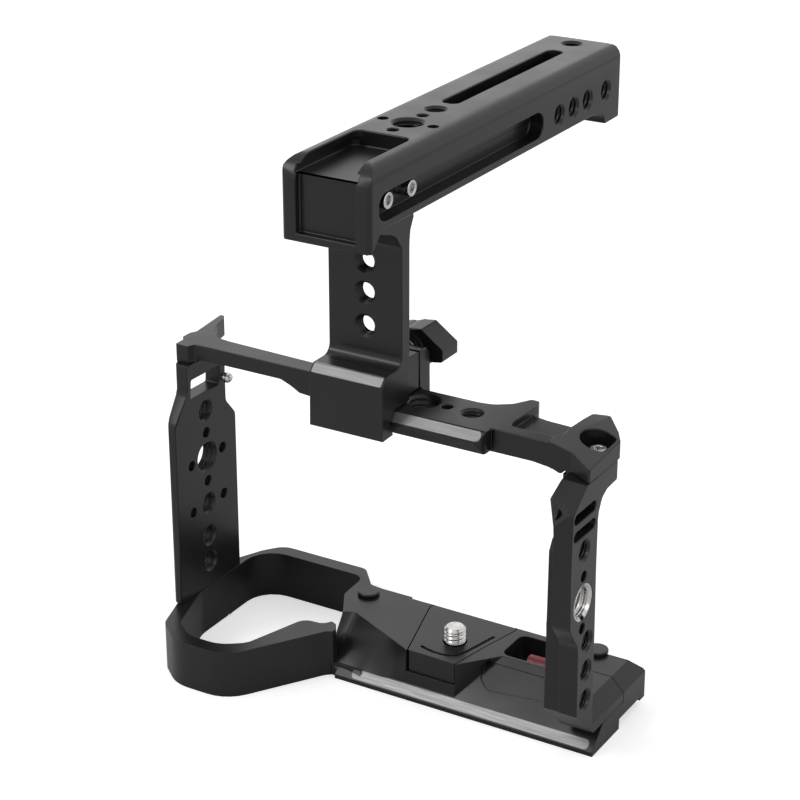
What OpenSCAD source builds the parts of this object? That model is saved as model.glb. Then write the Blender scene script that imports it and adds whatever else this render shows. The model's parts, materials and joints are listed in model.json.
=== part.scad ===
// Cage for a flat-top camera: base plate with grip ring, side plate, top bar with rail,
// side arm, rail clamp with riser, top handle and their fasteners.
// X to the right seen from the front, Y to the rear, Z up.
// The origin is the camera screw's axis at the seat face. Lengths are in millimetres.

/* [Base plate] */
// Seat face down to the underside
base_depth = 14.5; // [12:0.1:18]
// Right end of the base and of the arm
end_x = 51.6; // [45:0.1:60]
// Left end of the straight plate
plate_left_x = -33; // [-40:0.5:-25]
// Foremost line of the strip
strip_front_y = -14.6; // [-18:0.1:-12]
// Height of the strip's upright edge above the underside
strip_edge = 1.3; // [1:0.1:3]
// Width and height of the bare bevel
strip_bevel = 2.6; // [2:0.1:4]
// Left end of the strip
strip_left_x = -32; // [-32.5:0.5:-20]
// Rear face of the base
base_rear_y = 19; // [16:0.1:24]
// Chamfer along the rear and the right end
rear_bevel = 3.3; // [2:0.1:5]
// Chamfer at the right end
end_bevel = 4; // [2:0.1:6]
// Underside recess: front and rear limits
recess_y = [2.5, 16]; // [0:0.5:20]
// Underside recess: depth
recess_depth = 3.2; // [2:0.1:5]
// Rear lip: depth above the underside
lip_rise = 2.2; // [1:0.1:4]
// Front edge of the seat right of the pocket's left end
seat_front_y = -0.5; // [-3:0.1:3]

/* [Grip ring] */
// Height of the ring
ring_height = 14.5; // [12:0.1:18]
// Shallow facet on the ring: width and drop
ring_facet = [2.9, 1]; // [0.5:0.1:4]

/* [Camera pad] */
// Thickness of the pad
pad_height = 6.8; // [4:0.1:9]
// Gap round the pad
pad_gap = 0.35; // [0.1:0.05:0.5]
// Depth and width of the pad's curved groove
groove_size = [0.5, 1.1]; // [0.3:0.1:2]
// Camera screw: thread radius
screw_r = 3.175; // [3:0.005:3.5]
// Camera screw: length above the seat
screw_up = 5; // [4:0.1:8]
// Camera screw: neck radius, and start of the thread above the seat
screw_neck = [2.6, 0.35]; // [0.2:0.05:3]
// Camera screw: head radius and height
screw_head = [7, 2.6]; // [2:0.1:9]
// Clearance round the camera screw
screw_gap = 0.32; // [0.2:0.01:0.6]
// Gap above the camera screw's head
head_gap = 0.3; // [0.1:0.05:0.5]
// Retaining ring: outer radius and thickness
clip_size = [4.9, 0.8]; // [0.5:0.1:6]
// Retaining ring: depth of its groove in the neck
clip_bite = 0.6; // [0.3:0.1:1]
// Retaining ring: height above the floor under the pad
clip_lift = 0.3; // [0.1:0.05:0.5]

/* [Pads against twisting] */
// Radius and height above the seat
stop_size = [3.3, 1.2]; // [1:0.05:5]
// Radius and depth of the stem
stop_stem = [2, 4.5]; // [1:0.1:6]

/* [Tool pocket] */
// Left and right ends
pocket_x = [14.9, 38.4]; // [10:0.1:45]
// Front and rear edges
pocket_y = [0.3, 13.1]; // [-2:0.1:18]
// Depth
pocket_depth = 7.4; // [5:0.1:9]
// Rounding of the corners
pocket_round = 2.4; // [1:0.1:5]
// Tool barrel: left end, right end and radius
barrel = [20.6, 33, 2.6]; // [1:0.1:40]
// Tool shank: right end and radius
shank = [42.2, 1.5]; // [1:0.1:50]
// Tool axis: Y and Z
tool_axis = [6.9, -4.5]; // [-8:0.1:10]
// Running clearance of the shank in its bore
shank_gap = 0.06; // [0.01:0.01:0.1]
// Magnet: radius and thickness
magnet_size = [3, 1.6]; // [1:0.1:4]

/* [Grip-side plate] */
// Inner face
plate_inner_x = -80.5; // [-90:0.1:-70]
// Thickness
plate_thick = 5; // [4:0.1:7]
// Top of the plate, and height of its tongue
plate_top_z = [74, 77.4]; // [70:0.1:80]
// Tongue: distance of its inner face from the plate's, and thickness
tongue_size = [1.3, 2.4]; // [1:0.1:4]

/* [Top bar] */
// Underside of the left half
bar_low_z = 75; // [72:0.1:78]
// Top of the left half
bar_top_z = 79.5; // [78:0.1:82]
// Rail: width over the bevels
rail_width = 21.2; // [20:0.1:22]
// Rail: centre line
rail_y = -13.2; // [-16:0.1:-10]
// Rail: ends
rail_x = [-31, 20.6]; // [-50:0.1:30]
// Rail: top face
rail_top_z = 79; // [77:0.1:81]
// Rail: bevel, upright band, lower flank's inset and height
rail_steps = [2.4, 0.9, 1.8, 3.1]; // [0.5:0.1:4]
// Right half: step down behind the hook
step_drop = 2; // [1:0.1:3]
// Seam between the bar and the arm
seam_z = 72; // [68:0.1:76]
// Gap at the seams
seam_gap = 0.1; // [0.05:0.05:0.3]
// Corner screw: X, Y
corner_axis = [47, -8.3]; // [-12:0.1:50]
// Corner screw: counterbore radius and floor height
corner_bore = [5, 73.4]; // [4:0.1:80]
// Corner screw: head height
corner_head = 2.2; // [1.5:0.1:4]

/* [Side arm] */
// Inner face of the front flange and of the rear strip
arm_inner_x = [46, 41.6]; // [38:0.1:48]
// Strap slots: front and rear ends
strap_y = [-30.4, -17.9]; // [-32:0.1:-16]
// Strap slots: heights of the two
strap_z = [59.3, 64.3]; // [50:0.1:70]
// Strap slots: width
strap_w = 3; // [2:0.1:4]
// Foot: left, rear and lower faces
foot_limits = [41.6, 4.8, -7]; // [-10:0.1:50]
// Threaded insert: outer radius
insert_r = 5.3; // [5:0.05:6]

/* [Rail clamp and riser] */
// Middle of the clamp, riser and handle
carriage_x = -18.5; // [-30:0.5:0]
// Width of the riser and of the front jaw
riser_w = 23; // [18:0.5:30]
// Width of the rear jaw
jaw_w = 19; // [15:0.5:24]
// Front face of the clamp
clamp_front_y = -28.5; // [-32:0.1:-25]
// Underside and top of the clamp
clamp_z = [72.3, 90.3]; // [70:0.1:92]
// Bare bevel of the clamp's top edge
clamp_bevel = 2.1; // [1:0.1:3]
// Riser: front and rear faces
riser_y = [-18.3, -14.1]; // [-20:0.1:-12]
// Rear face of the clamp's fixed half
clamp_rear_y = -5.9; // [-8:0.1:-4]
// Rear jaw: front and rear faces
jaw_y = [-5.3, 0.4]; // [-6:0.1:2]
// Clearance between the clamp and the rail
rail_gap = 0.3; // [0.1:0.05:0.5]
// Clamp screw: height of its axis
clamp_screw_z = 85.5; // [80:0.1:88]
// Clamp screw: radius and length
clamp_screw_size = [2.5, 19]; // [2:0.1:22]
// Guide pins: radius, length and distance from the screw
guide = [1.5, 9, 6.4]; // [1:0.1:12]
// Running clearance
running_gap = 0.06; // [0.01:0.01:0.1]
// Knob: front and rear faces
knob_y = [1.5, 10.7]; // [1:0.1:14]
// Knob: hub radius
knob_hub_r = 6.8; // [5:0.1:8]
// Washer: outer radius
washer_r = 5.2; // [4:0.1:7]

/* [Top handle] */
// Width
handle_w = 27; // [22:0.5:32]
// Front and rear ends
handle_y = [-37.5, 108]; // [-40:0.5:120]
// Underside
handle_low_z = 133.3; // [120:0.1:160]
// Height above the underside
handle_height = 17.6; // [14:0.1:24]
// Depth of the front foot and of the rear foot below the underside
foot_drop = [5.1, 4.5]; // [2:0.1:8]
// Rounding of the long top edges
handle_round = 4.2; // [1:0.1:5]
// Shoe: depth, opening width, groove width and groove height
shoe = [4.4, 17, 18.9, 2.2]; // [1:0.1:20]
// Shoe: rear end
shoe_rear_y = -8; // [-20:0.1:0]
// Top slot: front, rear and width
top_slot = [25.6, 91.8, 5.4]; // [3:0.1:100]
// Side slot: front, rear and height
side_slot = [-33, 57.5, 7.8]; // [-40:0.1:80]
// Side slot: height of its middle above the underside
side_slot_rise = 5.85; // [4:0.05:12]
// Side slot: depth from each side
side_slot_depth = 4.5; // [3:0.1:10]

/* [Fasteners] */
// Quarter-inch tapped hole: radius at the crests
quarter_r = 2.6; // [2.4:0.05:3]
// Three-eighth-inch tapped hole: radius at the crests
large_r = 4; // [3.8:0.05:4.5]
// Locating hole: radius
locating_r = 1.6; // [1.2:0.05:2]
// Locating holes: distance from the middle hole
locating_pitch = 7.8; // [7:0.1:9]
// Countersink of the tapped holes
mouth = 0.75; // [0.3:0.05:1.2]
// Small screws: shank radius and head radius
small_screw = [1.25, 2.25]; // [1:0.05:4]
// Countersunk screws: shank radius and head radius
flat_screw = [1.5, 3]; // [1:0.05:4]
// Socket of the screws: radius across the corners and depth
socket = [1.45, 1.6]; // [0.8:0.05:3]
// Screw slots: width and depth
slot_cut = [1, 0.9]; // [0.5:0.1:2]
// Bright ball screw on the plate: X, Y, Z
ball_at = [-78.7, 2, 64.8]; // [-90:0.1:70]
// Bright ball screw: shank and tip radius
ball_screw_r = [0.9, 1.6]; // [0.5:0.05:2]

/* [Hidden] */
// Smoothness of round holes, and of rounded outlines
$fn = 40;
arc_steps = 5;
// Overrun of every cut
over = 1;
// Gap of fasteners in their holes
fit_gap = 0.05;
// Quarter of a turn, in degrees
quarter_turn = 90;
socket_sides = 6;
half_share = 0.5;
double_share = 2;
// A span that covers the whole object
span = 400;

base_low = -base_depth;
strip_top_z = base_low + strip_edge + strip_bevel;
strip_top_y = strip_front_y + strip_bevel;
recess_top = base_low + recess_depth;
clip_z = clip_lift - pad_height;
head_low = base_low + strip_edge;
lip_low = base_low + lip_rise;
seat_rear_y = base_rear_y - rear_bevel;

handle_top_z = handle_low_z + handle_height;
foot_z = [for (drop = foot_drop) handle_low_z - drop];
side_slot_z = handle_low_z + side_slot_rise;
shoe_floor_z = handle_top_z - shoe[0];

// Outline of the ring and the left part of the base: X, Y, corner radius
ring_outer = [
    [-24, -13.5, 0], [-24, 16.6, 0], [-34.5, 16.6, 3], [-38.8, 17.2, 1.5], [-45.4, 25, 3],
    [-75.3, 25, 6], [-79.7, 19, 8], [-85, 7.5, 6], [-85.5, 3, 6], [-85.5, -12, 10],
    [-78.5, -34, 6], [-70, -41, 12],
    [-52.3, -41, 12], [-34.2, -12.9, 5], [-29, -12.9, 3]
];
// Hole of the ring
ring_inner = [
    [-80.3, 20.2, 9], [-43.2, 20.2, 3.5], [-42.6, 8, 4], [-37, -1.8, 3], [-36.6, -8, 1],
    [-38.3, -10.8, 3], [-44.5, -11.3, 4], [-51, -31.4, 6], [-57.5, -36.4, 10], [-68.2, -36.4, 8],
    [-74.6, -31.6, 8], [-80.3, -13, 12]
];
// Zone of the plate in which its front is cut away
plate_zone = [
    [-39, -7.4], [-34.8, -9.1], [-33.4, -11.7], [-31, -40], [70, -40], [70, 40], [-39, 40]
];
// Top edge of the sloping front: X, Y
front_edge = [
    [-39.5, -4.5], [-37.3, -2.2], [-36, -0.9], [-34.8, -0.3], [-33.4, -0.2], [-31, -1.3], [-28, -2.7],
    [-25, -4.2], [-22, -5.6], [-19, -7], [-16, -8.4], [-13, -9.9], [-10.6, -11], [-9.2, -11.9],
    [6.6, -11.9], [16, -0.5], [60, -0.5]
];
// Line on which the ring's facet starts, and its length
facet_start = [[-49.4, -31.4], [-41.3, -18.8]];
// Outline of the pad, anticlockwise
pad_outline = [[-9.1, -11.2, 0.6], [6.35, -11.4, 0.6], [9, 1.8, 0], [12.3, 15.6, 1.2], [-16.6, 15.4, 1.2]];
// Middle line of the pad's groove
groove_line = [
    [-7, -7.4], [-5, -8.1], [-2.5, -8.6], [0, -8.7], [2.5, -8.2], [4.3, -7], [5.4, -5.2], [6.2, -2.4],
    [7, 1], [7.8, 4.5], [8.6, 8]
];
// Shallow relief on the slope: X, distance up the slope, corner radius
relief_outline = [
    [11.6, 13, 0], [11.8, 7.5, 3], [15.4, 4.7, 3.5], [33.4, 6.4, 1.5], [34.4, 13, 0]
];
relief_depth = 0.5;
// Places of the pads against twisting
stop_places = [[-36.3, 11.6], [38, 15.2]];
// Screws under the pad and under the foot
pad_screw_places = [[-10.5, 8.5], [8, 8.5]];
foot_screw_places = [[45.8, -8.6], [45.8, 0.4]];
// Screws from below through the ring into the plate
ring_screw_places = [[-83, -16], [-83, 1.5]];

// Outline of the plate seen from the right: Y, Z, corner radius
plate_outline = [
    [-22.5, 0, 0], [8.1, 0, 0], [8.1, 51.2, 3], [3.5, 56.6, 3], [3.5, 72.5, 2], [1.6, 74, 1],
    [-16, 74, 0], [-15.3, 66, 4], [-22.1, 57.5, 3]
];
// Levels of the plate's rounded front edge: Z, front Y, width and depth of the rounding
plate_levels = [
    [-1, -22.5, 3.5, 10.5], [55, -22.5, 3.5, 10.5], [57.3, -22.2, 3.3, 9], [59, -21, 2.8, 7.5],
    [64.5, -16.2, 1.8, 4.5], [66.2, -15.4, 1.6, 4], [80, -15.4, 1.6, 4]
];
plate_span_y = 30;
plate_slot = [[-14, 63.2, 0.6], [0.2, 63, 0.6], [0.7, 68.7, 0.6], [-13.4, 69, 0.6]];
// Holes in the plate: Y and Z of the tapped ones, of the large one and of the locating ones
plate_quarter = [[-7, 57.2], [-7, 27.1], [-7, 16.5], [-7, 7.9]];
plate_large = [-7, 42.3];
plate_locating = [[-7, 34.5], [-7, 50.1], [-14.8, 42.3], [0.8, 42.3], [-14.8, 27.1], [0.8, 27.1]];
// Screws through the plate's tongue: Y and Z; their radius, head radius and length
plate_screw_places = [[-10.2, 76.6], [-5.6, 76.6]];
plate_screw = [0.8, 1.5, 4.6];
// Their driving slots: width and depth
plate_screw_slot = [0.45, 0.5];
// Tongue of the plate: front and rear faces
tongue_y = [-12.2, -3.9];
// Depth of the ring screws in the plate
ring_screw_top = 6.5;

// Outline of the bar's left half seen from above: X, Y, corner radius
bar_left_plan = [
    [-29, -11.3, 0], [-29, -5.1, 0], [-44.4, -5.1, 0], [-74.5, -3.9, 4], [-80, -2.6, 5], [-83.5, 4, 12],
    [-85, 10.2, 0.6], [-86.2, 11.9, 0.5], [-87.5, 11.9, 0.4], [-85.9, -2.4, 0.8], [-86.9, -4.5, 1],
    [-86.9, -8, 1], [-85.5, -9.6, 0.5], [-85.5, -13.5, 0.4], [-81.3, -13.5, 0.4], [-80.2, -11.3, 1.2],
    [-74.5, -11.2, 2]
];
// The same half seen from the front: X, Z
bar_left_front = [
    [-88, 75.6, 0], [-87.4, 74.9, 0], [-85.7, 74.1, 0.3], [-79.6, 74.1, 0.5], [-78.6, 75, 1], [-51, 75, 3],
    [-47.6, 73.7, 2], [-44.6, 72.2, 1], [-40, 71.7, 2],
    [-34, 72.2, 0], [-29, 72.2, 0], [-29, 79, 0], [-30.6, 79, 0], [-30.6, 79.5, 0], [-88, 79.5, 0]
];
// Outline of the bar's right half seen from above
bar_right_plan = [
    [14, -18, 0], [21.5, -18.6, 2], [44.6, -18.8, 1], [51.6, -23, 0.5], [51.6, -4.4, 1.5],
    [49.3, -0.9, 1.5],
    [44.2, 4.6, 1.5], [39.6, 3.4, 1], [38.2, -2.7, 1], [29.5, -2.3, 2], [24.4, -1.3, 1], [24.2, 1.5, 0.6],
    [23.2, 4.1, 0.9], [20.7, 4.1, 0.9], [17.8, -0.9, 3], [13.6, -4, 6], [8, -5.1, 3], [8, -18, 0]
];
// Room in the arm for the bar's lip: right and lower limits
lip_room = [42.5, 70.6];
// The same half seen from the front: X, Z
bar_right_front = [
    [8, 72.5, 0], [33, 72.4, 1], [38.5, 71.8, 3], [41.4, lip_room[1] + seam_gap, 1],
    [lip_room[0] - seam_gap, seam_z, 0.1], [end_x, seam_z, 0], [end_x, 79.6, 0], [8, 79.6, 0]
];
// The lower level behind the hook, as an outline, and the block's own outline
step_plan = [
    [23.7, -9.6, 1.2], [23.7, -14.4, 1.8], [38.8, -14.4, 2], [38.4, -8, 3], [38.9, -1, 0], [40, 7, 0],
    [24.4, 7, 0], [24.1, -1, 1.5]
];
// Plane of the block's top: X, Y, Z of a corner, and the slopes along X and Y
block_top = [51.6, -23, 75.8];
block_slope = [-12.7, -3.9];
block_split_x = 38.5;
block_cap_z = 79.3;
// Holes in the rail: X, Y
rail_large = [-3.9, -11.8];
rail_small = [3.4, -12];
rail_quarter = [11.3, -12.2];

// Arm seen from the right: Y, Z, corner radius
arm_flange = [
    [-25.2, 3.6, 0.5], [-14.2, -7, 0], [4.8, -7, 1], [4.8, 0, 0], [-15.3, 0, 1], [-15.8, 27, 2],
    [-16.3, 45, 2], [-16.3, 62, 0], [-31.4, 62, 0], [-31.6, 48, 3], [-31, 32.5, 5], [-26, 25.6, 5]
];
arm_strip = [
    [-25, 3.6, 0.5], [-14.2, -7, 0], [4.8, -7, 1], [4.8, 0, 0], [-15.3, 0, 1], [-15.8, 27, 2],
    [-16.3, 45, 2], [-16.3, 54.2, 1.5], [-23, 54.2, 1], [-24.6, 51, 1], [-25, 30, 2]
];
arm_block = [[-17.5, 61, 0], [-16.3, 59.5, 0], [-16.1, 61.5, 1], [-14.2, 64.6, 3], [-11.6, 66.2, 1.5],
    [-5.5, 66.4, 0.6], [-5.5, 72, 0], [-17.5, 72, 0]];
// Arm's upper part: outlines seen from above at three heights
arm_levels = [61.9, 66, 71.9];
arm_low_plan = [[46, -31.4], [51.6, -31.4], [51.6, -16.3], [46, -16.3]];
arm_mid_plan = [[41.4, -24.4], [42.8, -25.8], [50, -31.3], [51.6, -31.1], [51.6, -13], [41.4, -13]];
arm_top_plan = [[44, -23.3], [51.6, -23.6], [51.6, -13], [44, -13]];
// Wall left behind the holes in the flange, height above which the holes end in it,
// rear face of the arm, how far the strap slots run behind the flange, lower end of the
// corner screw and wall left on the right of its room
flange_wall = 1;
flange_only_z = 50;
arm_rear_y = -15.3;
strap_run = 0.2;
corner_screw_low = 67.5;
corner_wall = 1;
// Holes in the arm: Y, Z
arm_quarter = [[-24, 53.4], [-20.5, 24.9], [-20.5, 15.9], [-20.5, 6.8]];
arm_locating = [[-23.8, 45.7], [-23.8, 30.2]];
arm_insert_at = [-23.8, 38];

rail_low_z = rail_top_z - rail_steps[0] - rail_steps[1] - rail_steps[3];
rail_half = rail_width * half_share;
// Outline of the knob's wings seen from the rear: X, Z, corner radius
knob_outline = [
    [12.3, -0.9, 0.8], [12.3, 2.8, 1], [5.4, 7.7, 1], [1.9, 7.4, 1], [-1.4, 6.2, 1.5], [-3.6, 5.2, 2],
    [-5.4, 2.2, 2], [-12.3, 0.9, 0.8], [-12.3, -2.8, 1], [-5.4, -7.7, 1], [-1.9, -7.4, 1], [1.4, -6.2, 1.5],
    [3.6, -5.2, 2], [5.4, -2.2, 2]
];
// Heights of the holes in the riser
riser_holes = [118.5, 109.7, 100.2];
// Front end of the guide pins, and wall behind their bores in the jaw
guide_y = -11;
jaw_wall = 1.4;
// Roundings of the jaw's edges: at the joint face, at the lower rear and at the upper rear
jaw_rounds = [0.3, 0.6, 3.6];
// Retaining ring of the clamp screw: outer radius and thickness
retainer_size = [4, 0.8];
// Knob: wall behind the screw, and step between the hub and the wings
knob_wall = 1.5;
knob_step = 0.8;
// Clamp and riser seen from the right: Y, Z, corner radius
riser_outline = [
    [clamp_front_y, clamp_z[0], 0.4], [clamp_rear_y, clamp_z[0], 0], [clamp_rear_y, clamp_z[1], 0.6],
    [riser_y[1], clamp_z[1], 1], [riser_y[1], handle_low_z - 8.7, 2], [-13.9, handle_low_z - 5.3, 1],
    [-12.2, handle_low_z - 2.1, 1], [-12.2, handle_low_z, 0], [-30, handle_low_z, 0],
    [-30, handle_low_z - 1.9, 0.8], [-21.8, handle_low_z - 4.7, 5], [riser_y[0], handle_low_z - 9.3, 4],
    [riser_y[0], clamp_z[1], 3], [clamp_front_y + clamp_bevel, clamp_z[1], 0],
    [clamp_front_y, clamp_z[1] - clamp_bevel, 0]
];
// Tongue of the riser inside the handle: front, rear, and top
tongue_block = [-30, -13, handle_low_z + 10];
tongue_half_w = 6;
tongue_gap = 0.1;
handle_screw_rise = 1.15;
handle_screw_places = [for (y = [-27.8, -15.9]) [y, side_slot_z + handle_screw_rise]];
// Chamfer under the handle's rear end
foot_chamfer = 1;
// Outline of the handle seen from the right: Y, Z, corner radius
handle_side = [
    [handle_y[0], foot_z[0], 0.3], [-36.4, foot_z[0], 0.5], [-31.5, handle_low_z, 1.5],
    [89, handle_low_z, 6], [97, handle_low_z - 1.3, 3], [97.9, foot_z[1], 0.5],
    [handle_y[1] - foot_chamfer, foot_z[1], 0], [handle_y[1], foot_z[1] + foot_chamfer, 0],
    [handle_y[1], handle_top_z, 0.8], [handle_y[0], handle_top_z, 7]
];
// Holes in the handle's top and through its sides, and screws in its side: Y; Y, Z
handle_quarter = [19.2, 101.4];
handle_large_y = 4.2;
handle_side_holes = [67.5, 76.65, 85.7, 97.9];
handle_screw_depth = 6;
// Rounding of the shoe's rear corners
shoe_corner = 2.4;
// Depths of the top slot and of the holes from above: large, front, rear and locating ones
top_slot_depth = 8;
large_depth = 7.4;
quarter_depths = [6.4, 6.9];
locating_depth = 4;
// Rounding of a slot's ends as a share of half its width
nearly_share = 0.98;
// Hollow in the handle's front: depth, wall at each side and rise above the foot
front_panel = [2.1, 4.5, 2.2];
handle_screw_head = 4.3;
// Plan rounding of the handle's front and rear corners
handle_corners = [1.6, 1];

anodised = [0.09, 0.09, 0.1];
bare_metal = [0.72, 0.72, 0.74];
stainless = [0.8, 0.8, 0.8];
tool_red = [0.6, 0.12, 0.14];

function unit(v) = v / norm(v);

// Arc that rounds one corner, as a list of points.
function corner_arc(before, here, after, r) =
    let (
        a = unit(before - here),
        b = unit(after - here),
        half = acos(a * b) * half_share,
        centre = here + unit(a + b) * r / sin(half),
        first = here + a * r / tan(half) - centre,
        last = here + b * r / tan(half) - centre,
        start = atan2(first[1], first[0]),
        turn = atan2(first[0] * last[1] - first[1] * last[0], first * last)
    )
    [for (k = [0:arc_steps])
        centre + r * [cos(start + turn * k / arc_steps), sin(start + turn * k / arc_steps)]];

// Outline with each corner rounded by its third value.
function rounded(points) =
    let (n = len(points))
    [for (i = [0:n - 1])
        let (
            p = points[i],
            before = points[(i + n - 1) % n],
            after = points[(i + 1) % n]
        )
        each (p[2] > 0
            ? corner_arc([before[0], before[1]], [p[0], p[1]], [after[0], after[1]], p[2])
            : [[p[0], p[1]]])];

// Band of one width along a line of points.
function band(line, width) =
    let (
        n = len(line),
        sides = [for (i = [0:n - 1])
            let (
                ahead = line[min(i + 1, n - 1)] - line[max(i - 1, 0)],
                out = unit([-ahead[1], ahead[0]]) * width * half_share
            )
            out]
    )
    concat([for (i = [0:n - 1]) line[i] - sides[i]], [for (i = [n - 1:-1:0]) line[i] + sides[i]]);

// Solid through a list of sections with equal numbers of points.
module loft(sections) {
    count = len(sections[0]);
    last = len(sections) - 1;
    points = [for (section = sections) each section];
    sides = [for (i = [0:last - 1], j = [0:count - 1])
        let (a = i * count, b = a + count, k = (j + 1) % count)
        each [[a + j, b + j, b + k], [a + j, b + k, a + k]]];
    first_cap = [for (j = [0:count - 1]) j];
    last_cap = [for (j = [count - 1:-1:0]) last * count + j];
    polyhedron(points = points, faces = concat([first_cap, last_cap], sides), convexity = 10);
}

module along_x() {
    rotate([0, quarter_turn, 0]) children();
}

module along_y() {
    rotate([-quarter_turn, 0, 0]) children();
}

// Extrusion of a Y-Z outline from one X to another.
module side_slab(outline, from_x, to_x) {
    translate([from_x, 0, 0])
        rotate([quarter_turn, 0, quarter_turn])
            linear_extrude(height = to_x - from_x)
                polygon(rounded(outline));
}

// Extrusion of an X-Z outline from one Y to another.
module front_slab(outline, from_y, to_y) {
    translate([0, to_y, 0])
        rotate([quarter_turn, 0, 0])
            linear_extrude(height = to_y - from_y)
                polygon(rounded(outline));
}

// Extrusion of an X-Y outline from one Z to another.
module plan_slab(outline, from_z, to_z) {
    translate([0, 0, from_z])
        linear_extrude(height = to_z - from_z)
            polygon(rounded(outline));
}

// Block between two corners.
module block(low, high) {
    translate(low)
        cube(high - low);
}

// Tapped hole along Z with a countersink at each end.
module tapped(r, low, high) {
    translate([0, 0, low - over])
        cylinder(r = r, h = high - low + double_share * over);
    translate([0, 0, low - over])
        cylinder(r1 = r + mouth + over, r2 = r, h = mouth + over);
    translate([0, 0, high - mouth])
        cylinder(r1 = r, r2 = r + mouth + over, h = mouth + over);
}

// Tapped hole along Z that ends at a flat floor, with a countersink at its mouth.
module blind_tapped(r, floor_z, high) {
    translate([0, 0, floor_z])
        cylinder(r = r, h = high - floor_z + over);
    translate([0, 0, high - mouth])
        cylinder(r1 = r, r2 = r + mouth + over, h = mouth + over);
}

// Round column along Z, used as a hole and as a shank.
module plain_hole(r, low, high) {
    translate([0, 0, low])
        cylinder(r = r, h = high - low);
}

// Countersunk screw along Z, head down at the given height.
module flat_head_screw(head_z, top_z, r, head_r) {
    difference() {
        union() {
            plain_hole(r, head_z, top_z);
            translate([0, 0, head_z])
                cylinder(r1 = head_r, r2 = r, h = head_r - r);
        }
        translate([0, 0, head_z - over])
            cylinder(r = socket[0], h = socket[1] + over, $fn = socket_sides);
    }
}

// Room for a countersunk screw along Z, open below.
module flat_head_room(head_z, top_z) {
    r = flat_screw[0] + fit_gap;
    head_r = flat_screw[1] + fit_gap;
    plain_hole(r, head_z, top_z);
    translate([0, 0, head_z])
        cylinder(r1 = head_r, r2 = r, h = head_r - r);
    plain_hole(head_r, head_z - over, head_z);
}

// Sloping cutter in front of the seat's edge.
module front_relief() {
    reach = double_share * base_depth;
    intersection() {
        loft([for (p = front_edge) [
            [p[0], strip_top_y, strip_top_z],
            [p[0], p[1], 0],
            [p[0], p[1], over],
            [p[0], -reach, over],
            [p[0], -reach, strip_top_z]
        ]]);
        translate([0, 0, base_low])
            linear_extrude(height = reach)
                polygon(plate_zone);
    }
}

module pad_shape(gap, low, high) {
    translate([0, 0, low])
        linear_extrude(height = high - low)
            offset(delta = gap)
                polygon(rounded(pad_outline));
}

// Room in front of the pad, so that its front face stands free.
module pad_front_room() {
    left = pad_outline[0];
    right = pad_outline[1];
    block(
        [left[0] - pad_gap, strip_front_y - over, -pad_height],
        [right[0] + pad_gap, max(left[1], right[1]), over]
    );
}

module pocket_shape() {
    plan_slab([
        [pocket_x[0], pocket_y[0], pocket_round], [pocket_x[1], pocket_y[0], pocket_round],
        [pocket_x[1], pocket_y[1], pocket_round], [pocket_x[0], pocket_y[1], pocket_round]
    ], -pocket_depth, over);
}

module foot_room() {
    block(
        [foot_limits[0] - seam_gap, strip_front_y - over, foot_limits[2]],
        [end_x + over, foot_limits[1] + seam_gap, over]
    );
}

module end_bevel_cut() {
    reach = end_bevel + over;
    translate([end_x - end_bevel, -span * half_share, 0])
        rotate([-quarter_turn, 0, 0])
            linear_extrude(height = span)
                polygon([[0, 0], [reach, reach], [reach, -over], [0, -over]]);
}

module base_plate() color(anodised) {
    section = [
        [strip_front_y, base_low, 0], [recess_y[0], base_low, 0], [recess_y[0], recess_top, 0],
        [recess_y[1], recess_top, 0], [recess_y[1], lip_low, 0], [base_rear_y, lip_low, 0],
        [base_rear_y, -rear_bevel, 0], [seat_rear_y, 0, 0], [strip_top_y, 0, 0],
        [strip_top_y, strip_top_z, 0], [strip_front_y, base_low + strip_edge, 0]
    ];
    difference() {
        union() {
            side_slab(section, plate_left_x, end_x);
            plan_slab(ring_outer, -ring_height, 0);
        }
        plan_slab(ring_inner, base_low - over, over);
        block([plate_left_x - over, strip_front_y - over, base_low - over],
            [strip_left_x, strip_top_y - strip_edge, strip_top_z]);
        front_relief();
        end_bevel_cut();
        pad_shape(pad_gap, -pad_height, over);
        pad_front_room();
        pocket_shape();
        foot_room();
        ring_facet_cut();
        relief_cut();
        plain_hole(screw_r + screw_gap, base_low - over, 0);
        plain_hole(screw_head[0] + screw_gap, base_low - over, head_low + screw_head[1] + head_gap);
        for (p = stop_places)
            translate([p[0], p[1], 0])
                plain_hole(stop_stem[0] + fit_gap, -stop_stem[1], over);
        for (p = pad_screw_places)
            translate([p[0], p[1], 0])
                flat_head_room(recess_top, 0);
        for (p = foot_screw_places)
            translate([p[0], p[1], 0])
                flat_head_room(base_low, 0);
        for (p = ring_screw_places)
            translate([p[0], p[1], 0])
                flat_head_room(-ring_height, over);
        translate([0, tool_axis[0], tool_axis[1]])
            along_x()
                plain_hole(shank[1] + shank_gap, pocket_x[1] - over, shank[0] + over);
        translate([(barrel[0] + barrel[1]) * half_share, tool_axis[0], 0])
            plain_hole(magnet_size[0] + fit_gap, -pocket_depth - magnet_size[1], 0);
    }
}

module ring_facet_cut() {
    line = facet_start[1] - facet_start[0];
    angle = atan2(line[1], line[0]);
    slope = atan2(ring_facet[1], ring_facet[0]);
    translate([facet_start[0][0], facet_start[0][1], 0])
        rotate([0, 0, angle])
            rotate([-slope, 0, 0])
                translate([0, -span * half_share, 0])
                    cube([norm(line), span * half_share, span * half_share]);
}

// Shallow cut into the sloping front, drawn on the slope.
module relief_cut() {
    slope = atan2(-strip_top_z, seat_front_y - strip_top_y);
    translate([0, strip_top_y, strip_top_z])
        rotate([slope, 0, 0])
            plan_slab(relief_outline, -relief_depth, double_share * over);
}

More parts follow.
